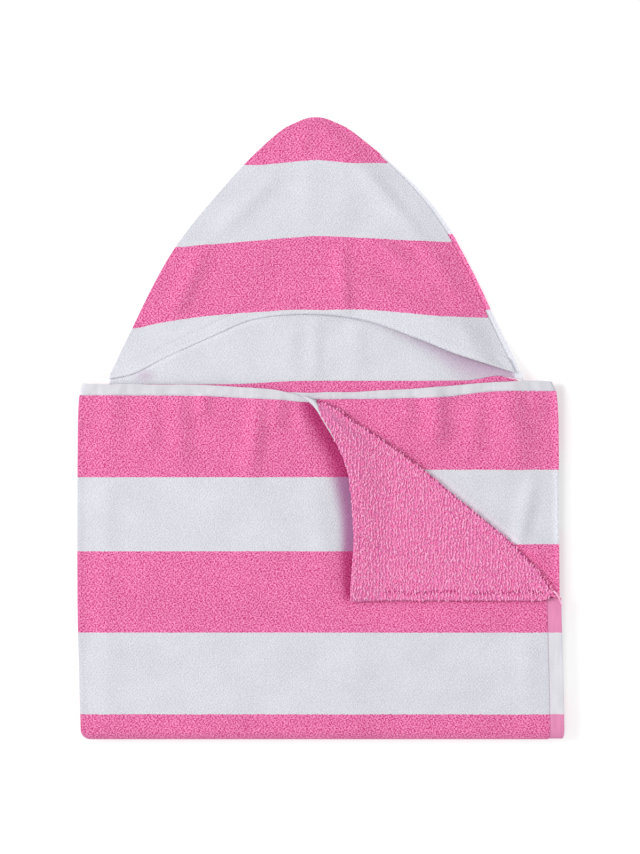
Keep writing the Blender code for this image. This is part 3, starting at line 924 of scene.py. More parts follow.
@dataclass
class Body:
    """The towel's folded body: the thirds that show and their hems. All lengths are in millimetres.

    Attributes:
        spacing: Distance between the points of the cloth's grid.
        roll_radius: Radius of the cloth's turn along the crease.
        lift_width: How wide the lifted strip at the corner's free edge is.
        edge_lift: How high that edge is lifted, by its height on the plan.
        crease_slope: How far the crease runs down the plan for each step across, along most of it.
        left_hem_top: Upper edge of the left top hem, by the place across.
        left_hem_bottom: Lower edge of the left top hem.
        right_hem_top: Upper edge of the right top hem.
        right_hem_bottom: Lower edge of the right top hem.
        neck: Upper edge of the centre third, where the hood is sewn on.
        crease: Place across of the crease, by the height on the plan.
        corner_edge: Place across of the turned corner's free edge.
        left_stripes: The left third's stripes.
        right_stripes: The right third's stripes.
        left_creases: Ridges and troughs of the left third.
        right_creases: Ridges and troughs of the right third.
        selvedge: The hem's turned end at the corner.
        thread: The loose yarn at the crease's other end.
        corner_surface: The turned corner's upper surface, set once the left third is made.
    """

    spacing: float = 2.4
    roll_radius: float = 1.6
    lift_width: float = 36.0
    edge_lift: tuple[Knot, ...] = knots(
        (CREASE_START_Y, 3.0), (5.0, 9.0), (-40.0, 9.6), (-90.0, 7.0), (-130.0, 3.4), (CREASE_END_Y, 1.6),
    )
    crease_slope: float = 0.627
    left_hem_top: tuple[Knot, ...] = knots(
        (-213.0, 38.6), (-113.0, 37.6), (-73.0, 35.8), (-42.0, 33.6), (-16.5, 27.2), (-4.0, 24.4),
    )
    left_hem_bottom: tuple[Knot, ...] = knots(
        (-213.0, 28.4), (-105.0, 27.6), (-35.0, 24.1), (-4.0, CREASE_START_Y), (213.0, CREASE_START_Y),
    )
    right_hem_top: tuple[Knot, ...] = knots(
        (-213.0, 31.0), (9.0, 31.2), (70.0, 33.7), (127.0, 38.2), (166.0, 40.7), (195.0, 41.4), (208.0, 41.2),
        (213.0, 39.8),
    )
    right_hem_bottom: tuple[Knot, ...] = knots(
        (-213.0, 23.5), (9.0, 25.0), (105.0, 26.7), (149.0, 31.6), (213.0, 32.2),
    )
    neck: tuple[Knot, ...] = knots(
        (-204.0, 38.4), (-100.0, 38.2), (-70.0, 38.6), (-52.0, 39.5), (-35.0, 40.6), (-17.0, 41.2),
        (128.0, 41.6), (141.0, 43.4), (151.0, 45.4), (160.0, 45.2), (170.0, 43.4), (176.0, 42.4),
        (181.0, 39.4), (204.0, 38.4),
    )
    crease: tuple[Knot, ...] = knots(
        (CREASE_START_Y, 4.0), (15.3, 16.5), (5.7, 28.6), (-12.7, 57.0), (-35.0, 87.5), (-61.0, 119.0),
        (-98.0, 164.0), (-127.5, 192.6), (CREASE_END_Y, 205.4),
    )
    corner_edge: tuple[Knot, ...] = knots(
        (CREASE_START_Y, -7.0), (5.1, 2.5), (-10.7, 12.3), (-23.5, 19.1), (-40.0, 24.4), (-78.0, 28.2),
        (-123.0, 25.6), (CORNER_END_Y, 25.8),
    )
    left_stripes: tuple[Knot, ...] = stripe_edges(
        28.0, -43.0, -107.6, -178.6, -250.0, -320.0, -391.0, -462.0, -533.0, -604.0
    )
    right_stripes: tuple[Knot, ...] = stripe_edges(
        31.0, -36.5, -101.5, -171.5, -243.0, -313.0, -384.0
    )
    left_creases: tuple[Crease, ...] = (
        Crease(-206.0, 24.0, -202.0, 6.0, 9.0, 1.2), Crease(-186.0, 29.0, -180.0, 2.0, 9.0, 2.6),
        Crease(-148.0, 26.0, -152.0, -18.0, 10.0, 2.2), Crease(-126.0, 28.0, -122.0, -26.0, 9.0, 3.4),
        Crease(-103.0, 29.0, -103.0, 12.0, 6.0, 3.4), Crease(-54.0, 29.0, -62.0, -38.0, 8.0, 4.8),
        Crease(-38.0, 28.0, -40.0, 0.0, 9.0, 4.2), Crease(-20.0, 20.0, -12.0, -22.0, 7.0, 1.4),
        Crease(-188.0, 10.0, -188.0, -262.0, 10.0, 1.4), Crease(-4.0, -60.0, 6.0, -148.0, 10.0, 1.4),
        Crease(-170.0, -150.0, -20.0, -130.0, 26.0, 0.7), Crease(180.0, -160.0, 180.0, -262.0, 9.0, 1.5),
        Crease(140.0, -256.0, 176.0, -232.0, 10.0, 1.2), Crease(30.0, -180.0, 36.0, -262.0, 18.0, 1.0),
        Crease(40.0, -172.0, 170.0, -168.0, 9.0, 0.9), Crease(-20.0, -156.0, 30.0, -170.0, 10.0, 0.8),
    )
    right_creases: tuple[Crease, ...] = (
        Crease(99.0, 32.0, 101.0, -12.0, 10.0, 6.4), Crease(72.0, 26.0, 78.0, 6.0, 7.0, 2.4),
        Crease(138.0, 26.0, 132.0, -18.0, 8.0, 2.4), Crease(166.0, 34.0, 174.0, -34.0, 16.0, 6.4),
        Crease(196.0, 30.0, 190.0, 6.0, 7.0, 1.2), Crease(187.0, -44.0, 172.0, -106.0, 8.0, 3.4),
    )
    selvedge: tuple[Bead, ...] = (
        Bead(-18.0, 29.0, 19.8, 0.4), Bead(-12.0, 25.6, 20.6, 1.4), Bead(-7.0, 22.4, 22.4, 2.4),
        Bead(-4.6, 19.4, 24.6, 2.0), Bead(-1.8, 13.8, 28.2, 0.9), Bead(2.6, 5.6, 30.8, 0.55),
        Bead(8.0, -3.4, 31.6, 0.5), Bead(12.4, -11.0, 31.6, 0.35),
    )
    thread: tuple[Bead, ...] = (
        Bead(202.6, -142.0, 22.6, 0.7), Bead(205.6, -145.0, 22.4, 0.7), Bead(208.2, -149.6, 20.6, 0.62),
        Bead(210.4, -155.0, 19.0, 0.45),
    )
    corner_surface: np.ndarray | None = field(default=None, init=False, repr=False)

    @staticmethod
    def fold_section(axis_x: float, low: float, high: float, outward: float, count: int) -> Section:
        """Half round from a lower layer to a higher one.

        Args:
            axis_x: Place across of the fold's axis.
            low: Height of the lower layer's middle.
            high: Height of the higher layer's middle.
            outward: 1.0 for a fold on the right, -1.0 for one on the left.
            count: Steps round the fold.

        Returns:
            The section from the lower layer up.
        """
        radius = (high - low) / 2
        angles = np.linspace(0.0, math.pi, count + 1)
        return [(axis_x + outward * radius * math.sin(a), low + radius * (1 - math.cos(a))) for a in angles]

    def left_fold(self, wall: float = WALL) -> Section:
        """Section of the left fold, from the centre's level up to the left third's."""
        low, high = layer_middle(CENTRE_LAYER), layer_middle(LEFT_LAYER)
        axis = -BODY_HALF_WIDTH + WALL / 2 + (high - low) / 2
        fold = [(-PANEL_END - 1.2, low)] + self.fold_section(axis, low, high, -1.0, LEFT_FOLD_STEPS)
        return [(x, z - (WALL - wall) / 2) for x, z in fold]

    def right_section(self, wall: float = WALL) -> Section:
        """Section of the right third, from its hidden edge round the right fold to the centre."""
        low, high = layer_middle(CENTRE_LAYER), layer_middle(RIGHT_LAYER)
        axis = BODY_HALF_WIDTH - 1.0 - WALL / 2 - (high - low) / 2
        fold = self.fold_section(axis, low, high, 1.0, RIGHT_FOLD_STEPS)
        hidden = steps(-PANEL_END, -12.0, 14.0)[:-1]
        shown = steps(-12.0, fold[-1][0], self.spacing)[:-1]
        level = [(float(x), high) for x in np.concatenate([hidden, shown])]
        section = level + fold[::-1] + [(PANEL_END + 1.2, low)]
        return [(x, z - (WALL - wall) / 2) for x, z in section]

    @staticmethod
    def turned(section: Section) -> np.ndarray:
        """Rows of a section round the fold in half, after its first row."""
        x, z = np.array(section).T
        angles = np.linspace(0.0, math.pi, HALF_FOLD_STEPS + 1)[1:, None]
        return body_place(x[None, :], HALF_FOLD_Y, z[None, :], angles)

    @staticmethod
    def under_count(edges: Sequence[Knot], rows: np.ndarray) -> np.ndarray:
        """Count of stripes along rows that go round the fold in half, by the cloth's own length."""
        lengths = np.linalg.norm(np.diff(rows[:, rows.shape[1] // 2], axis=0), axis=-1)
        run = np.concatenate([[0.0], np.cumsum(lengths)])
        return stripes_above(edges, HALF_FOLD_Y - run)

    def left_third(self) -> Cloth:
        """The left third, with its top right corner turned down along the crease."""
        fold = self.left_fold()
        start_x, height = fold[-1]
        # shares of the way down the crease, across the flat cloth, and angles round the crease
        down = np.concatenate([np.linspace(0.0, 1.0, 60)[:-1] ** 1.15, np.linspace(0.975, 1.0, 6)])
        down = np.unique(np.round(down, 5))
        flat = np.linspace(0.0, 1.0, 90)[1:]
        roll = np.linspace(0.0, math.pi, 15)[1:]
        rows = [self._creased_row(share, fold, flat, roll) for share in down]
        counts = [stripes_above(self.left_stripes, row[:, 1]) for row in rows]
        width = len(rows[0])

        # below the crease: flat down to the fold in half, then round it
        xs = np.array([x for x, _ in fold] + list(lerp(start_x, SIDE_HEM_INNER - SEAM_GAP, flat)))
        zs = np.array([z for _, z in fold] + [height] * len(flat))
        lower = np.concatenate([steps(CREASE_END_Y, HALF_FOLD_Y + 3.0, self.spacing)[1:], [HALF_FOLD_Y]])
        for y in lower:
            flat_row = body_place(xs, np.full(len(xs), y), zs)
            flat_row[:, 2] += creased(xs, y, self.left_creases) * (zs > height - 1.0)
            rows.append(self._padded(flat_row, width))
            counts.append(stripes_above(self.left_stripes, np.full(width, y)))
        around = self.turned(list(zip(xs, zs)))
        under = self.under_count(self.left_stripes, np.concatenate([rows[-1][None, : len(xs)], around]))[1:]
        rows += [self._padded(row, width) for row in around]
        counts += [np.full(width, count) for count in under]

        # no cloth past the seam below the crease, nor on the inner side of the left fold at the fold in half
        seam = len(fold) + len(flat) - 1
        keep = np.ones((len(rows) - 1, width - 1), dtype=bool)
        keep[len(down) - 1 :, seam:] = False
        keep[len(down) + len(lower) - 2 :, : 1 + LEFT_FOLD_STEPS // 2] = False
        points = np.stack(rows)
        half_round = len(roll) // 2 - 1
        first = len(fold) + len(flat) + 1 + half_round
        self.corner_surface = self._upper_side(points[: len(down), first:], roll[half_round:])
        inside = points[..., 0] - span_edge(BODY_SPANS, Edge.LEFT, points[..., 1])
        return Cloth(
            "left_third",
            points,
            np.stack(counts),
            keep=keep,
            rim=0.35,
            flip=True,
            flat_rows=len(down) + len(lower),
            # painted shade beside the turned corner's lifted edge, and painted shade along the left fold's
            # outer edge
            shade=self._corner_shade(points),
            opened=-0.17 * (1 - smoothstep(1.5, 7.0, inside)),
        )

    def _creased_row(self, share: float, fold: Section, flat: np.ndarray, roll: np.ndarray) -> np.ndarray:
        """One row of the left third that ends in the turned corner.

        Args:
            share: How far down the crease the row is.
            fold: Section of the left fold.
            flat: Shares of the way from the fold to the crease.
            roll: Angles round the crease.

        Returns:
            The points round the fold, across to the crease, round it and back over the corner.
        """
        start_x, height = fold[-1]
        crease_y = lerp(CREASE_START_Y, CREASE_END_Y, share)
        reach = (self.roll_radius + WALL / 2) / self.crease_slope
        axis_x = float(follow(self.crease, crease_y)) - reach
        seam_x = min(SIDE_HEM_INNER - SEAM_GAP, axis_x - 3.0)
        xs = np.array([x for x, _ in fold] + list(lerp(start_x, seam_x, flat)) + [axis_x])
        zs = np.array([z for _, z in fold] + [height] * (len(flat) + 1))
        ys = lerp(follow(self.left_hem_bottom, xs), CREASE_END_Y, share)
        main = body_place(xs, ys, zs)
        near = smoothstep(0.0, 40.0, axis_x - xs)
        main[:, 2] += creased(xs, ys, self.left_creases) * near * (zs > height - 1.0)
        across = self.roll_radius / self.crease_slope * np.sin(roll)
        up = height + self.roll_radius * (1 - np.cos(roll))
        rolled = np.stack([axis_x + across, np.full(len(roll), crease_y), up], axis=-1)
        return np.concatenate([main, rolled, self._turned_corner(share, crease_y, axis_x, height)])

    def _upper_side(self, points: np.ndarray, outward: np.ndarray) -> np.ndarray:
        """Upper surface of the turned corner.

        Args:
            points: The middle of its cloth, from the outermost place of the crease's turn.
            outward: Angles round the turn from there.

        Returns:
            The surface's places, as many as the points.
        """
        corner = points.copy()
        corner[:, : len(outward), 0] += (WALL / 2 + 0.3) / self.crease_slope * np.sin(outward)
        corner[:, : len(outward), 2] -= WALL / 2 * np.cos(outward)
        corner[:, len(outward) :, 2] += WALL / 2
        return corner

    def _corner_shade(self, points: np.ndarray) -> np.ndarray:
        """Painted shade: how much deeper the left third's colour is beside the turned corner's lifted edge.
        """
        x, y = points[..., 0], points[..., 1]
        beside = follow(self.corner_edge, y) - x
        reach = follow(knots((-150.0, 9.0), (-95.0, 13.0), (-30.0, 21.0), (22.0, 17.0)), y)
        ends = smoothstep(CORNER_END_Y - 5.0, CORNER_END_Y + 5.0, y)
        shown = (y < self.left_hem_top[0].value) & (points[..., 2] < layer_middle(LEFT_LAYER) + 3.0)
        return (1 - smoothstep(0.3, 1.1, beside / reach)) * ends * shown

    @staticmethod
    def _padded(row: np.ndarray, width: int) -> np.ndarray:
        """Row filled up to a width with its last point, which no face uses."""
        return np.concatenate([row, np.repeat(row[-1:], width - len(row), axis=0)])

    def _turned_corner(self, share: float, crease_y: float, axis_x: float, height: float) -> np.ndarray:
        """Points of the turned-down corner on one row.

        Args:
            share: How far down the crease the row is.
            crease_y: The row's height on the plan at the crease.
            axis_x: Place across of the crease's turn.
            height: Height of the left third's middle.

        Returns:
            The points from the crease to the corner's free edge.
        """
        inner = np.concatenate([np.linspace(0.0, 0.93, 62)[1:], np.linspace(0.93, 1.0, 10)[1:]])
        edge_x = float(follow(self.corner_edge, crease_y))
        edge_y = lerp(crease_y, CORNER_END_Y - 0.4, share**3)
        x = lerp(axis_x, edge_x, inner)
        y = lerp(crease_y, edge_y, lerp(inner, smoothstep(0.0, 0.06, inner), share**12))
        y = y - 1.0 * share**12 * bell(axis_x - x - 4.0, 6.0)
        rolled, rested = height + 2 * self.roll_radius, height + PITCH
        settled = smoothstep(0.0, 16.0, axis_x - x)
        from_edge = x - edge_x
        lift = float(follow(self.edge_lift, crease_y)) * (1 - smoothstep(0.0, self.lift_width, from_edge))
        stitch = -0.5 * bell(from_edge - 5.5, 1.4)
        stitch = stitch - 0.4 * bell(y - CORNER_END_Y - 6.5, 1.4)
        aside = (axis_x - x) * self.crease_slope
        valley = -0.18 * bell(aside - 6.0, 2.4) + 0.3 * bell(aside - 10.5, 2.4)
        z = lerp(rolled, rested, settled) + lift * smoothstep(0.0, 14.0, axis_x - x) + stitch + valley
        return np.stack([x, y, z], axis=-1)

    def right_third(self) -> Cloth:
        """The right third, folded over the centre."""
        section = self.right_section()
        x, z = np.array(section).T
        top = follow(self.right_hem_bottom, x)
        share = np.concatenate([np.linspace(0.0, 0.6, 76)[:-1], np.linspace(0.6, 1.0, 12)])
        ys = lerp(top[None, :], HALF_FOLD_Y + 3.0, share[:, None])
        flat = body_place(x[None, :], ys, z[None, :])
        on_top = z > layer_middle(RIGHT_LAYER) - 0.5
        rise = creased(x[None, :], ys, self.right_creases) * on_top
        flat[..., 2] += rise * smoothstep(0.0, 30.0, x)[None, :]
        last = body_place(x, HALF_FOLD_Y, z)[None]
        around = self.turned(section)
        points = np.concatenate([flat, last, around])
        above = stripes_above(self.right_stripes, points[: len(flat) + 1, :, 1])
        under = self.under_count(self.right_stripes, np.concatenate([last, around]))[1:]
        counts = np.concatenate([above, np.repeat(under[:, None], len(x), axis=1)])
        # no cloth on the inner side of the right fold at the fold in half
        keep = np.ones((len(points) - 1, len(x) - 1), dtype=bool)
        keep[len(flat) - 1 :, len(x) - 2 - RIGHT_FOLD_STEPS // 2 :] = False
        px, py = points[..., 0], points[..., 1]
        # painted shade on the right third beside the crease
        beside = (px - follow(self.crease, py)) * self.crease_slope
        shade = (1 - smoothstep(0.0, 9.0, beside)) * lerp(0.0, 0.12, 1 - smoothstep(-70.0, 0.0, py))
        shade *= (points[..., 2] > layer_middle(RIGHT_LAYER) - 2.5) & (py > CREASE_END_Y - 8.0)
        # painted light along the right edge and beside the crease's lower part
        opened = 0.34 * (1 - smoothstep(0.0, 9.0, span_edge(BODY_SPANS, Edge.RIGHT, py) - px))
        low_down = 1 - smoothstep(-50.0, -30.0, py)
        opened = np.maximum(opened, 0.3 * (1 - smoothstep(1.0, 8.0, beside)) * low_down)
        return Cloth(
            "right_third",
            points,
            counts,
            keep=keep,
            rim=0.6,
            flip=True,
            flat_rows=len(flat) + 1,
            shade=shade,
            opened=opened,
        )

    def centre_third(self) -> Cloth:
        """The centre third, whose reverse shows as a strip below the hood."""
        x = steps(-PANEL_END, PANEL_END, self.spacing)
        top = follow(self.neck, x)
        share = np.concatenate([np.linspace(0.0, 0.08, 12)[:-1], np.linspace(0.08, 1.0, 14)])
        ys = lerp(top[None, :], HALF_FOLD_Y + 0.8, share[:, None])
        points = body_place(x[None, :], ys, layer_middle(CENTRE_LAYER))
        return Cloth("centre_third", points, np.zeros(points.shape[:2]), rim=0.4)

    def left_rise(self, x: np.ndarray, y: np.ndarray) -> np.ndarray:
        """Height of the left third's creases above the cloth, which fade out before its turned corner."""
        return creased(x, y, self.left_creases) * smoothstep(0.0, 40.0, 2.0 - x)

    def right_rise(self, x: np.ndarray, y: np.ndarray) -> np.ndarray:
        """Height of the right third's creases above the cloth, which fade out under the left third."""
        return creased(x, y, self.right_creases) * smoothstep(0.0, 30.0, x)

    def left_hem(self) -> Cloth:
        """Flat-woven hem along the left third's top edge, up to the turned corner."""
        start = self.left_fold(HEM_WALL)
        section = start + [(float(x), start[-1][1]) for x in steps(start[-1][0], -4.0, self.spacing)[1:]]
        hem = self._top_hem("left_top_hem_band", section, self.left_hem_bottom, self.left_hem_top)
        flat = hem.points[:, len(start) :]
        flat[..., 2] += self.left_rise(flat[..., 0], flat[..., 1])
        return hem

    def right_hem(self) -> Cloth:
        """Flat-woven hem along the right third's top edge and round its fold."""
        section = self.right_section(HEM_WALL)
        hem = self._top_hem("right_top_hem_band", section, self.right_hem_bottom, self.right_hem_top)
        on_top = hem.points[..., 2] > layer_middle(RIGHT_LAYER) - 1.5
        hem.points[..., 2] += self.right_rise(hem.points[..., 0], hem.points[..., 1]) * on_top
        return hem

    @staticmethod
    def _top_hem(name: str, section: Section, bottom: Sequence[Knot], top: Sequence[Knot]) -> Cloth:
        """Hem along a third's top edge, a little puckered.

        Args:
            name: Name of the piece.
            section: The third's section.
            bottom: The hem's lower edge, by the place across.
            top: Its upper edge.

        Returns:
            The hem.
        """
        x, z = np.array(section).T
        low, high = follow(bottom, x) + 0.05, follow(top, x)
        share = np.linspace(0.0, 1.0, 9)[:, None]
        ys = lerp(low[None, :], high[None, :], share)
        points = body_place(x[None, :], ys, z[None, :])
        pucker = 0.35 * np.sin(x / 2.6 + 1.7 * np.sin(x / 15.0))
        pucker += 0.3 * np.sin(x / 6.3 + 1.1 * np.sin(x / 23.0))
        points[..., 2] += pucker * np.sin(np.pi * share)
        points[1:, :, 1] += 0.25 * np.sin(x / 9.0 + 2.0 * np.sin(x / 31.0)) * share[1:]
        return Cloth(name, points, np.ones(points.shape[:2]), wall=HEM_WALL, rim=0.45)

    def seams(self) -> dict[str, np.ndarray]:
        """Places of the stitches along the inner edge of each top hem, by the name of the row."""
        lift = HEM_WALL / 2 + 0.1
        seams = {}
        for name, start, end, bottom, layer, rise in (
            ("left_hem_stitches", -204.0, -22.0, self.left_hem_bottom, LEFT_LAYER, self.left_rise),
            ("right_hem_stitches", -14.0, 206.0, self.right_hem_bottom, RIGHT_LAYER, self.right_rise),
        ):
            x = steps(start, end, 2.0)
            y = follow(bottom, x) + 1.5
            seams[name] = body_place(x, y, layer_middle(layer, HEM_WALL) + lift + rise(x, y))
        return seams

    def side_hem(self) -> Cloth:
        """Flat-woven hem along the left third's side edge, below the turned corner."""
        height = layer_middle(LEFT_LAYER, HEM_WALL)
        x = steps(SIDE_HEM_INNER - SEAM_GAP - 0.5, BODY_HALF_WIDTH, 1.8)
        y = steps(CREASE_END_Y - 1.2, HALF_FOLD_Y, self.spacing)
        flat = body_place(x[None, :], y[:, None], height)
        around = self.turned([(float(a), height) for a in x])
        points = np.concatenate([flat, around])
        under = self.under_count(self.left_stripes, np.concatenate([flat[-1:], around]))[1:]
        above = stripes_above(self.left_stripes, flat[..., 1])
        counts = np.concatenate([above, np.repeat(under[:, None], len(x), axis=1)])
        return Cloth("side_hem_band", points, counts, wall=HEM_WALL, rim=0.45)


@dataclass
class Hood:
    """The hood: its back, and its front with the turned hem of the face opening. Lengths are in millimetres.

    Attributes:
        pitch: Height of the front's middle above the back's where they lie on each other.
        wall: Thickness of the front.
        thin_roll: Radius of the hem's turn on the left, where it is pressed flat.
        full_roll: Radius of the hem's turn on the right.
        hem_lift: How high the hem stands away from the back on the right.
        hem_width: How far the hem reaches back under the front.
        drop: Heights on the plan between which the hood comes down from the body to the surface.
        settle: Distances above the opening between which the front comes down to the back.
        peek: How far the back shows beyond the front's right edge, by the height on the plan.
        opening: The face opening's edge, by the place across.
        band_low: Lower edge of the pink stripe on the front, which bows upwards.
        band_high: Its upper edge.
        tip_low: Lower edge of the pink tip.
        front_creases: Ridges and troughs of the front.
        back_creases: Ridges and troughs of the back.
    """

    pitch: float = 3.2
    wall: float = 1.4
    thin_roll: float = 0.5
    full_roll: float = 2.0
    hem_lift: float = 5.0
    hem_width: float = 9.0
    drop: tuple[float, float] = (42.0, 88.0)
    settle: tuple[float, float] = (20.0, 52.0)
    peek: tuple[Knot, ...] = knots(
        (40.0, 4.0), (120.0, 4.6), (200.0, 4.2), (250.0, 1.6), (269.0, 0.8),
    )
    opening: tuple[Knot, ...] = knots(
        (-185.0, 42.4), (-165.0, 47.0), (-137.0, 61.0), (-94.0, 81.0), (-60.0, 95.0), (-12.0, 99.8),
        (37.0, 94.4), (85.0, 78.0), (117.0, 65.0), (148.0, 55.0), (171.5, 47.5),
    )
    band_low: tuple[Knot, ...] = knots(
        (-162.0, 87.4), (-140.0, 92.3), (-105.0, 97.6), (-52.0, 101.9), (-17.0, 102.8), (36.0, 103.7),
        (70.0, 101.1), (105.0, 97.6), (140.0, 96.7),
    )
    band_high: tuple[Knot, ...] = knots(
        (-122.0, 158.8), (-70.0, 163.2), (-17.0, 167.6), (0.0, 168.4), (53.0, 165.8), (106.0, 163.2),
    )
    tip_low: tuple[Knot, ...] = knots(
        (-52.0, 230.6), (-35.0, 232.3), (-4.0, 234.9), (27.0, 232.3), (53.0, 232.3),
    )
    front_creases: tuple[Crease, ...] = (
        Crease(17.0, 158.0, 21.0, 102.0, 7.0, 3.4), Crease(-12.0, 232.0, -14.0, 176.0, 9.0, 0.9),
        Crease(20.0, 232.0, 22.0, 176.0, 12.0, 1.3), Crease(34.0, 230.0, 78.0, 176.0, 8.0, 4.2),
        Crease(80.0, 176.0, 124.0, 110.0, 8.0, 3.0), Crease(44.0, 164.0, 110.0, 124.0, 6.0, 3.0),
        Crease(56.0, 148.0, 110.0, 110.0, 7.0, 2.6), Crease(-38.0, 222.0, -94.0, 168.0, 8.0, 1.9),
        Crease(-102.0, 158.0, -128.0, 102.0, 8.0, 3.4), Crease(0.0, 262.0, 34.0, 232.0, 8.0, 1.8),
        Crease(-12.0, 262.0, -18.0, 238.0, 6.0, 1.2), Crease(-60.0, 150.0, -64.0, 112.0, 12.0, 0.8),
    )
    back_creases: tuple[Crease, ...] = (
        Crease(-5.0, 96.0, -6.0, 44.0, 6.0, 1.7), Crease(31.0, 92.0, 31.0, 44.0, 9.0, 1.6),
        Crease(-24.0, 88.0, -28.0, 44.0, 7.0, 0.9), Crease(-120.0, 64.0, -140.0, 48.0, 10.0, 0.8),
        Crease(84.0, 74.0, 90.0, 48.0, 10.0, 0.8),
    )

    def height(self, y: np.ndarray) -> np.ndarray:
        """Height of the middle of the hood's back, which comes down from the body to the surface."""
        return lerp(layer_middle(CENTRE_LAYER), WALL / 2, smoothstep(*self.drop, y))

    def stripe_count(self, x: np.ndarray, y: np.ndarray, raised: float = 0.0) -> np.ndarray:
        """Count of stripes on the hood, from the white one at the opening upwards."""
        low, high = follow(self.band_low, x) + raised, follow(self.band_high, x) + raised
        tip = follow(self.tip_low, x) + raised
        count = np.where(y < high, 1.0 + (high - y) / (high - low), 1.0 - (y - high) / (tip - high))
        return count + 1.0

    def back(self, neck: Sequence[Knot]) -> Cloth:
        """The hood's back, sewn to the centre panel along the neck."""
        ups = np.concatenate([np.linspace(0.0, 0.3, 34)[:-1], np.linspace(0.3, 1.0, 50)])[:, None]
        across = np.linspace(0.0, 1.0, 120)[None, :]
        y = lerp(NECK_Y, TIP_Y - 1.5, ups) + np.zeros_like(across)
        left = span_edge(HOOD_SPANS, Edge.LEFT, y) + 1.5
        right = span_edge(HOOD_SPANS, Edge.RIGHT, y)
        x = lerp(left, right, across)
        shift = (follow(neck, x) + 0.1 - NECK_Y) * (1 - ups) ** 4
        y = y + shift + TIP_BOW * (1 - (2 * across - 1) ** 2) * ups**8
        z = self.height(y) + creased(x, y, self.back_creases)
        points = np.stack([x, y, z], axis=-1)
        count = self.stripe_count(x, y, raised=7.0)
        # painted shade under the face opening's hem on the right and at its left end
        below = follow(self.opening, x) - y
        depth = follow(knots((-20.0, 1.0), (40.0, 6.0), (90.0, 15.0), (130.0, 34.0), (160.0, 34.0)), x)
        shade = (1 - smoothstep(0.0, 1.0, below / depth)) * lerp(0.0, 0.55, smoothstep(20.0, 150.0, x))
        shade *= smoothstep(1.5, 5.0, right - follow(self.peek, y) - x)
        shade = np.maximum(shade, 0.3 * (1 - smoothstep(0.0, 14.0, np.hypot(x + 154.0, (y - 46.0) * 1.6))))
        count = np.where(y < 110.0, np.minimum(count, 3.9), count)
        # painted light on the strip of the back beyond the front, and along the opening on the left
        opened = 0.2 * (x > right - follow(self.peek, y) - 3.5)
        opened = np.maximum(opened, 0.06 * (np.abs(below) < 4.0) * (1 - smoothstep(-70.0, -30.0, x)))
        return Cloth("hood_back_panel", points, count, rim=0.45, shade=shade * (y < 110.0), opened=opened)

    def front(self) -> Cloth:
        """The hood's front, from the turned hem of the face opening to the tip."""
        count = 150
        across = np.linspace(0.0, 1.0, count)
        xs = lerp(self.opening[0].at, self.opening[-1].at, across)
        edge = np.stack([xs, follow(self.opening, xs)], axis=-1)
        along = np.gradient(edge, axis=0)
        inward = np.stack([-along[:, 1], along[:, 0]], axis=-1)
        inward /= np.linalg.norm(inward, axis=-1, keepdims=True)
        roll = lerp(self.thin_roll, self.full_roll, smoothstep(-60.0, 60.0, xs))
        roll = roll * (1 - 0.7 * smoothstep(125.0, 171.0, xs))
        raised = self.hem_lift * smoothstep(20.0, 120.0, xs) * (1 - smoothstep(140.0, 171.0, xs))
        # how flat the hem is pressed on the left, which also sets its painted light below
        pressed_and_painted_shade = 1 - smoothstep(-70.0, 50.0, xs)
        over = self.pitch + raised + 2 * roll - 1.9 * pressed_and_painted_shade
        under = over - 2 * roll
        axis = roll + self.wall / 2
        rows = []

        def moved(distance: np.ndarray, level: np.ndarray) -> np.ndarray:
            """Row of the hem at distances inward from the opening's edge and levels above the back."""
            place = edge + inward * distance[:, None]
            x, y = place.T
            left = span_edge(HOOD_SPANS, Edge.LEFT, y)
            right = span_edge(HOOD_SPANS, Edge.RIGHT, y) - follow(self.peek, y)
            x = np.clip(x, left, right)
            down = raised * (1 - smoothstep(0.0, 30.0, right - x))
            return np.stack([x, y, self.height(y) + level - down], axis=-1)

        for distance in np.linspace(self.hem_width, 3.0, 5)[:-1]:
            rows.append(moved(axis + distance, under))
        reach = lerp(2.6, roll, 1 - pressed_and_painted_shade)
        for angle in np.linspace(0.0, math.pi, 15):
            distance = axis + reach - roll - reach * math.sin(angle)
            rows.append(moved(distance, under + roll * (1 - math.cos(angle))))
        hem_rows = len(rows)
        start = rows[-1]
        lean = np.linspace(0.0, 1.0, count)
        for up in np.concatenate([np.linspace(0.0, 0.12, 16)[1:-1], np.linspace(0.12, 1.0, 84)]):
            left_y, right_y = lerp(start[0, 1], TIP_Y, up), lerp(start[-1, 1], TIP_Y, up)
            left = float(span_edge(HOOD_SPANS, Edge.LEFT, left_y))
            right = float(span_edge(HOOD_SPANS, Edge.RIGHT, right_y) - follow(self.peek, right_y))
            x = lerp(left, right, lean) + (start[:, 0] - lerp(start[0, 0], start[-1, 0], lean)) * (1 - up)
            y = lerp(left_y, right_y, lean)
            bow = TIP_BOW * (1 - (2 * lean - 1) ** 2)
            y = y + lerp(start[:, 1] - lerp(start[0, 1], start[-1, 1], lean), bow, up)
            rest = smoothstep(*self.settle, y - start[:, 1])
            stitch = -0.6 * bell(y - start[:, 1] - 8.0, 1.5)
            inside = span_edge(HOOD_SPANS, Edge.RIGHT, y) - x
            down = np.maximum(over - self.pitch, 0.0) * (1 - rest) * (1 - smoothstep(2.0, 34.0, inside))
            down = down + 1.35 * (1 - smoothstep(4.0, 18.0, inside))
            z = self.height(y) + lerp(over, self.pitch, rest) - down + stitch
            z = z + creased(x, y, self.front_creases)
            rows.append(np.stack([x, y, z], axis=-1))
        points = np.stack(rows)
        counts = self.stripe_count(points[..., 0], points[..., 1])
        counts[:hem_rows] = 3.5
        # painted light on the turned hem where it is pressed flat
        opened = np.zeros(counts.shape)
        opened[: hem_rows - 1] = 0.05 * pressed_and_painted_shade
        return Cloth("hood_front_panel", points, counts, wall=self.wall, rim=0.5, opened=opened)


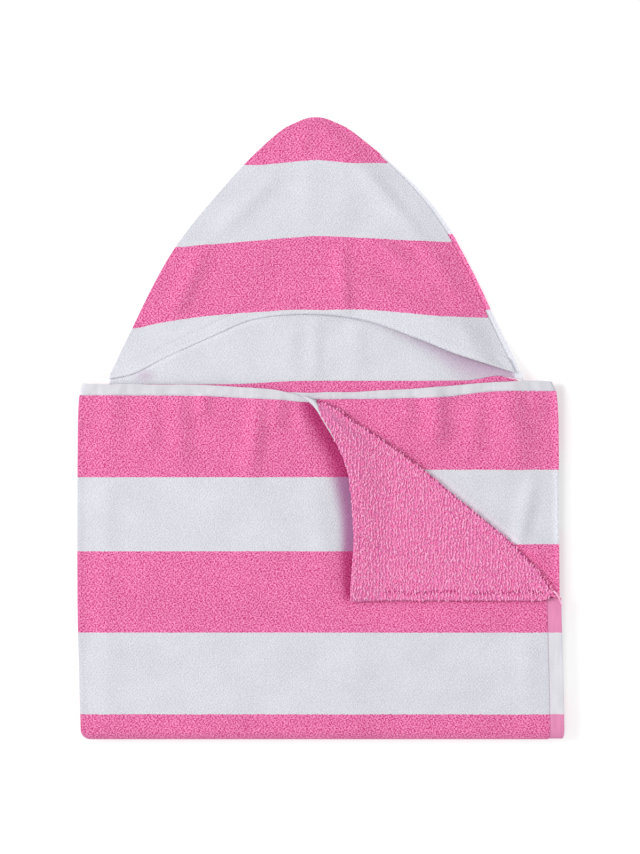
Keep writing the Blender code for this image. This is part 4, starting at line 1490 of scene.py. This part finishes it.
@dataclass
class Piping:
    """A rolled edge or a yarn end on the cloth, thicker and thinner along its run.

    Attributes:
        name: Name of the piece.
        run: Its places, one after the other.
        sides: Corners of its section.
    """

    name: str
    run: Sequence[Bead]
    sides: int = 8

    def build(self, finish: bpy.types.Material) -> bpy.types.Object:
        """Makes the piping.

        Args:
            finish: Its material.

        Returns:
            The piece, closed at both ends, with the UV map "weave".
        """
        at = np.arange(len(self.run), dtype=float)
        fine = np.linspace(0.0, at[-1], 8 * len(self.run))
        columns = [follow(knots(*zip(at, column)), fine) for column in zip(*self.run)]
        middle, radius = np.stack(columns[:3], axis=-1), columns[3]
        ahead = np.gradient(middle, axis=0)
        ahead /= np.linalg.norm(ahead, axis=-1, keepdims=True)
        aside = np.cross(ahead, [0.0, 0.0, 1.0])
        aside /= np.linalg.norm(aside, axis=-1, keepdims=True)
        up = np.cross(aside, ahead)
        angles = np.linspace(0.0, math.tau, self.sides + 1)[:-1]
        ring = aside[:, None] * np.cos(angles)[:, None] + up[:, None] * np.sin(angles)[:, None]
        points = middle[:, None] + ring * radius[:, None, None]
        mesh = add_mesh(self.name, points, [], tube_faces(len(fine), self.sides, flip=True))
        layer = mesh.uv_layers.new(name="weave")
        for loop in mesh.loops:
            place = mesh.vertices[loop.vertex_index].co
            layer.data[loop.index].uv = (place.x + place.z, place.y)
        mesh.materials.append(finish)
        mesh.shade_smooth()
        return add_object(self.name, mesh)


@dataclass
class HiddenHalf:
    """The half that is folded underneath, one solid with an edge for each layer. Lengths are in millimetres.

    Attributes:
        inset: How far its sides lie inside the body's.
        top: Height on the plan of its free edge.
        groove: Depth of the gap between two layers.
        corner: Radius of its two corners.
        side_steps: Points along each side.
    """

    inset: float = 1.5
    top: float = 35.5
    groove: float = 3.0
    corner: float = 4.0
    side_steps: int = 40

    @staticmethod
    def _rounding(z: float, low: float, high: float) -> float:
        """How far an edge that is rounded between two heights lies back at a height."""
        radius = (high - low) / 2
        return radius - math.sqrt(max(radius**2 - (z - low - radius) ** 2, 0.0))

    def _outline(self, z: float, groove: bool = False) -> np.ndarray:
        """Outline of the solid at a height, in the gap between two layers if groove is true."""
        layer = int(z // PITCH)
        free = self.groove if groove else self._rounding(z, layer * PITCH, layer * PITCH + WALL)
        stack = HIDDEN_LAYERS * PITCH - LAYER_GAP
        left = self.inset + self._rounding(z, 0.0, stack) - BODY_HALF_WIDTH
        right = BODY_HALF_WIDTH - self.inset - (free if layer == 0 else self._rounding(z, PITCH, stack))
        bottom = HALF_FOLD_Y + 0.8
        corner_y = self.top - free - self.corner
        loop = [(right, y) for y in np.linspace(bottom, corner_y, self.side_steps)[:-1]]
        for x, start in ((right - self.corner, 0.0), (left + self.corner, 0.5)):
            for share in np.linspace(0.0, 1.0, 7):
                angle = math.pi * (start + share / 2)
                loop.append((x + self.corner * math.cos(angle), corner_y + self.corner * math.sin(angle)))
        loop += [(left, y) for y in np.linspace(corner_y, bottom, self.side_steps)[1:]]
        x, y = np.array(loop).T
        return body_place(x, y, z)

    def build(self, finish: bpy.types.Material, stripes: Sequence[Knot]) -> bpy.types.Object:
        """Makes the solid.

        Args:
            finish: Its material.
            stripes: The left third's stripes, which go on round the fold in half.

        Returns:
            The piece, a closed mesh with the UV maps "stripes" and "weave".
        """
        rings = []
        for layer in range(HIDDEN_LAYERS):
            shares = (np.cos(np.linspace(math.pi, 0.0, 9)) + 1) / 2
            rings += [self._outline(layer * PITCH + WALL * share) for share in shares]
            if layer < HIDDEN_LAYERS - 1:
                rings.append(self._outline(layer * PITCH + WALL + LAYER_GAP / 2, groove=True))
        points = np.stack(rings)
        mesh = add_mesh("lower_half", points, [], tube_faces(*points.shape[:2]))
        form = bmesh.new()
        form.from_mesh(mesh)
        fold_run = math.pi * (HALF_FOLD_HEIGHT - WALL / 2)
        edges = [Knot(2 * HALF_FOLD_Y - fold_run - knot.at, knot.value) for knot in stripes]
        for y in [edge.at for edge in edges if HALF_FOLD_Y + 2 < edge.at < self.top - 2]:
            geometry = form.verts[:] + form.edges[:] + form.faces[:]
            bmesh.ops.bisect_plane(form, geom=geometry, plane_co=(0, y * MM, 0), plane_no=(0, 1, 0))
        counted, weave = (form.loops.layers.uv.new(name) for name in ("stripes", "weave"))
        for loop in [loop for face in form.faces for loop in face.loops]:
            place = loop.vert.co / MM
            loop[counted].uv = (0.0, float(stripes_above(edges, place.y)))
            loop[weave].uv = ((place.x + place.z) * MM, place.y * MM)
        form.to_mesh(mesh)
        form.free()
        mesh.materials.append(finish)
        mesh.shade_smooth()
        mesh.set_sharp_from_angle(angle=math.radians(60.0))
        return add_object("lower_half", mesh)


class SoftBox(NamedTuple):
    """A square soft light that looks at the towel: its place and size in metres, and its power in watts."""

    name: str
    place: tuple[float, float, float]
    size: float
    power: float


@dataclass
class Studio:
    """A pale floor, soft light from all round with more from the upper left, and the camera straight above.

    Attributes:
        distance: Height of the camera above the towel, in metres.
        subject_height: Height of the towel's middle, in metres.
        sensor_mm: Width of the camera's sensor, in millimetres.
        world_strength: Strength of the light from all round.
        boxes: The soft boxes.
        floor_half: Half the floor's width, in metres.
        floor_glow: Strength of the floor's own glow.
        contact_mm: Left, right, bottom and top of the floor's painted contact shadow round the body, in
            millimetres.
        contact_reach: How far the painted contact shadow reaches, in millimetres.
    """

    distance: float = 3.0
    subject_height: float = 0.012
    sensor_mm: float = 36.0
    world_strength: float = 0.61
    boxes: tuple[SoftBox, ...] = (
        SoftBox("key_softbox", (-2.7, 0.8, 2.7), 1.8, 99.0),
        SoftBox("fill_softbox", (1.9, -0.5, 1.6), 1.4, 8.0),
    )
    floor_half: float = 6.0
    floor_glow: float = 0.635
    contact_mm: tuple[float, float, float, float] = (-208.0, 210.9, -268.0, 36.0)
    contact_reach: float = 6.5

    def build(self) -> None:
        """Makes the floor, the lights and the camera."""
        self._floor()
        self._lights()
        self._camera()

    def _floor(self) -> None:
        """A floor of smooth white paper, bright enough to show white with only a faint shadow on it, and a
        painted contact shadow in its glow next to the body.
        """
        mesh = bpy.data.meshes.new("studio_floor")
        signs = ((-1, -1), (1, -1), (1, 1), (-1, 1))
        corners = [(x * self.floor_half, y * self.floor_half, 0) for x, y in signs]
        mesh.from_pydata(corners, [], [(0, 1, 2, 3)])
        material = bpy.data.materials.new("white_paper_sweep")
        material.use_nodes = True
        n = Wiring(material.node_tree)
        place = n.node("ShaderNodeTexCoord").outputs["Object"]
        shader = material.node_tree.nodes["Principled BSDF"]
        for name, feed in {
            "Base Color": n.mixed(n.noise(3.0, 2.0, place), linear("#b0b0b0"), linear("#b4b4b4")),
            "Roughness": 0.9,
            "Specular IOR Level": 0.1,
            # painted contact shadow: the floor's glow is darker next to the body
            "Emission Color": n.mixed(self._painted_contact_shadow(n, place), linear("#dedede"), (1.0, 1.0, 1.0, 1.0)),
            "Emission Strength": self.floor_glow,
        }.items():
            n.feed(shader.inputs[name], feed)
        mesh.materials.append(material)
        floor = add_object("studio_floor", mesh)

    def _painted_contact_shadow(self, n: Wiring, place: Socket) -> Socket:
        """Zero where the floor meets the body and one a few millimetres away, for a painted contact shadow in
        the floor's glow.
        """
        left, right, bottom, top = (value * MM for value in self.contact_mm)
        outside = {}
        for axis, low, high in (("X", left, right), ("Y", bottom, top)):
            far = n.maths("ABSOLUTE", n.maths("SUBTRACT", n.part(place, axis), (low + high) / 2))
            outside[axis] = n.maths("MAXIMUM", n.maths("SUBTRACT", far, (high - low) / 2), 0.0)
        length = {"operation": "LENGTH"}
        gap = n.node("ShaderNodeVectorMath", length, n.joined(**outside)).outputs["Value"]
        soft = {"interpolation_type": "SMOOTHSTEP"}
        return n.out("ShaderNodeMapRange", soft, gap, 0.0, self.contact_reach * MM)

    def _lights(self) -> None:
        """World light and the soft boxes."""
        scene = bpy.context.scene
        scene.world = bpy.data.worlds.new("studio")
        scene.world.use_nodes = True
        background = scene.world.node_tree.nodes["Background"]
        background.inputs["Color"].default_value = (1.0, 1.0, 1.0, 1.0)
        background.inputs["Strength"].default_value = self.world_strength
        for box in self.boxes:
            data = bpy.data.lights.new(box.name, "AREA")
            data.shape = "SQUARE"
            data.size = box.size
            data.energy = box.power
            light = add_object(box.name, data)
            light.location = box.place
            x, y, z = -np.array(box.place)
            tilt, turn = math.atan2(math.hypot(x, y), -z), math.atan2(y, x) - math.pi / 2
            light.rotation_euler = (tilt, 0.0, turn)
        scene.view_settings.view_transform = "Standard"
        scene.view_settings.look = "None"

    def _camera(self) -> None:
        """Camera straight above, whose long side spans the photograph's height."""
        data = bpy.data.cameras.new("camera")
        camera = add_object("camera", data)
        data.sensor_fit = "AUTO"
        data.sensor_width = self.sensor_mm
        data.lens = self.sensor_mm * self.distance / (PHOTO_HEIGHT * MM_PER_PIXEL * MM)
        data.clip_end = 20.0
        camera.location = (-MM_PER_PIXEL * MM, MM_PER_PIXEL * MM, self.distance + self.subject_height)
        bpy.context.scene.camera = camera


@dataclass
class Towel:
    body: Body = field(default_factory=Body)
    hood: Hood = field(default_factory=Hood)
    hidden: HiddenHalf = field(default_factory=HiddenHalf)

    def declare(
        self,
        piece: bpy.types.Object,
        node: str,
        area: float | None,
    ) -> None:
        """Says where a piece rides and what it replaces.

        Args:
            piece: The sheet.
            node: The frame's part that it replaces.
            area: Area as it is cut, in square metres, where it is no plain rectangle; not used.
        """
        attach(piece, "root")
        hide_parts(node)
        self.note(piece, node)

    def ride(self, piece: bpy.types.Object, node: str) -> None:
        """Says where a piece that is sewn to the cloth rides and what it belongs to."""
        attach(piece, "root")
        self.note(piece, node)

    @staticmethod
    def note(piece: bpy.types.Object, node: str) -> None:
        """Logs a piece's size and the frame's part that it belongs to."""
        triangles = sum(len(face.vertices) - 2 for face in piece.data.polygons)
        LOG.info("%s: %d triangles for %s", piece.name, triangles, node)

    def build(self) -> None:
        """Builds every piece of the towel."""
        face = TerryFinish("striped_cotton_terry").build()
        reverse = TerryFinish(
            "pink_loop_terry",
            pink_tip="#ffa0d0",
            pink_gap_shade="#cf559a",
            loop_mm=(3.5, 7.0),
            fibre_share=0.5,
            bump_mm=0.7,
            striped=False,
        ).build()
        inside = TerryFinish("pink_short_terry", striped=False).build()
        loop_finish = LoopFinish("pink_cotton_loops").build()
        hem = HemFinish("white_flat_woven_hem", white="#d3d2d9").build()
        striped_hem = HemFinish("striped_flat_woven_hem", striped=True).build()
        body, hood = self.body, self.hood

        lower = self.hidden.build(face, body.left_stripes)
        self.declare(lower, "hidden_layers", None)
        piece = body.centre_third().build(inside)
        self.declare(piece, "centre_panel", None)
        piece = body.right_third().build(face, reverse)
        self.declare(piece, "right_panel", None)
        band = body.right_hem().build(hem)
        self.declare(band, "top_hem_right", 0.0036)
        left = body.left_third().build(face, reverse)
        loops = LoopPile("turned_corner_loops").build(body.corner_surface, loop_finish)
        self.ride(loops, "left_panel")
        selvedge = Piping("corner_selvedge", body.selvedge).build(hem)
        self.ride(selvedge, "left_panel")
        yarn = LoopFinish("pale_pink_cotton_yarn", pale="#ffcfe8", deep="#ffbadc").build()
        thread = Piping("corner_yarn_end", body.thread).build(yarn)
        self.ride(thread, "left_panel")
        self.declare(left, "left_panel", None)
        band = body.left_hem().build(hem)
        self.declare(band, "top_hem_left", 0.0020)
        band = body.side_hem().build(striped_hem)
        self.declare(band, "side_hem", None)
        thread = LoopFinish("white_cotton_thread", pale="#eae9ee", deep="#cfced6").build()
        for name, seam in body.seams().items():
            side = name.split("_")[0]
            self.ride(StitchRow(name).build(seam, thread), f"top_hem_{side}")
        back, front = hood.back(body.neck), hood.front()
        # the same terry without the painted shade, for the outside of the hood's back
        outside = TerryFinish("striped_cotton_terry_unshaded", pressed_and_painted_shade="#ffffff").build()
        piece = back.build(face, outside)
        self.declare(piece, "hood_back", back.area())
        piece = front.build(face)
        self.declare(piece, "hood_front", front.area())


def main() -> None:
    """Loads the frame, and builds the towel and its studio."""
    logging.basicConfig(level=logging.INFO, format="%(name)s: %(message)s")
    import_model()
    Studio().build()
    Towel().build()
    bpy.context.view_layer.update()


if __name__ == "__main__":
    main()
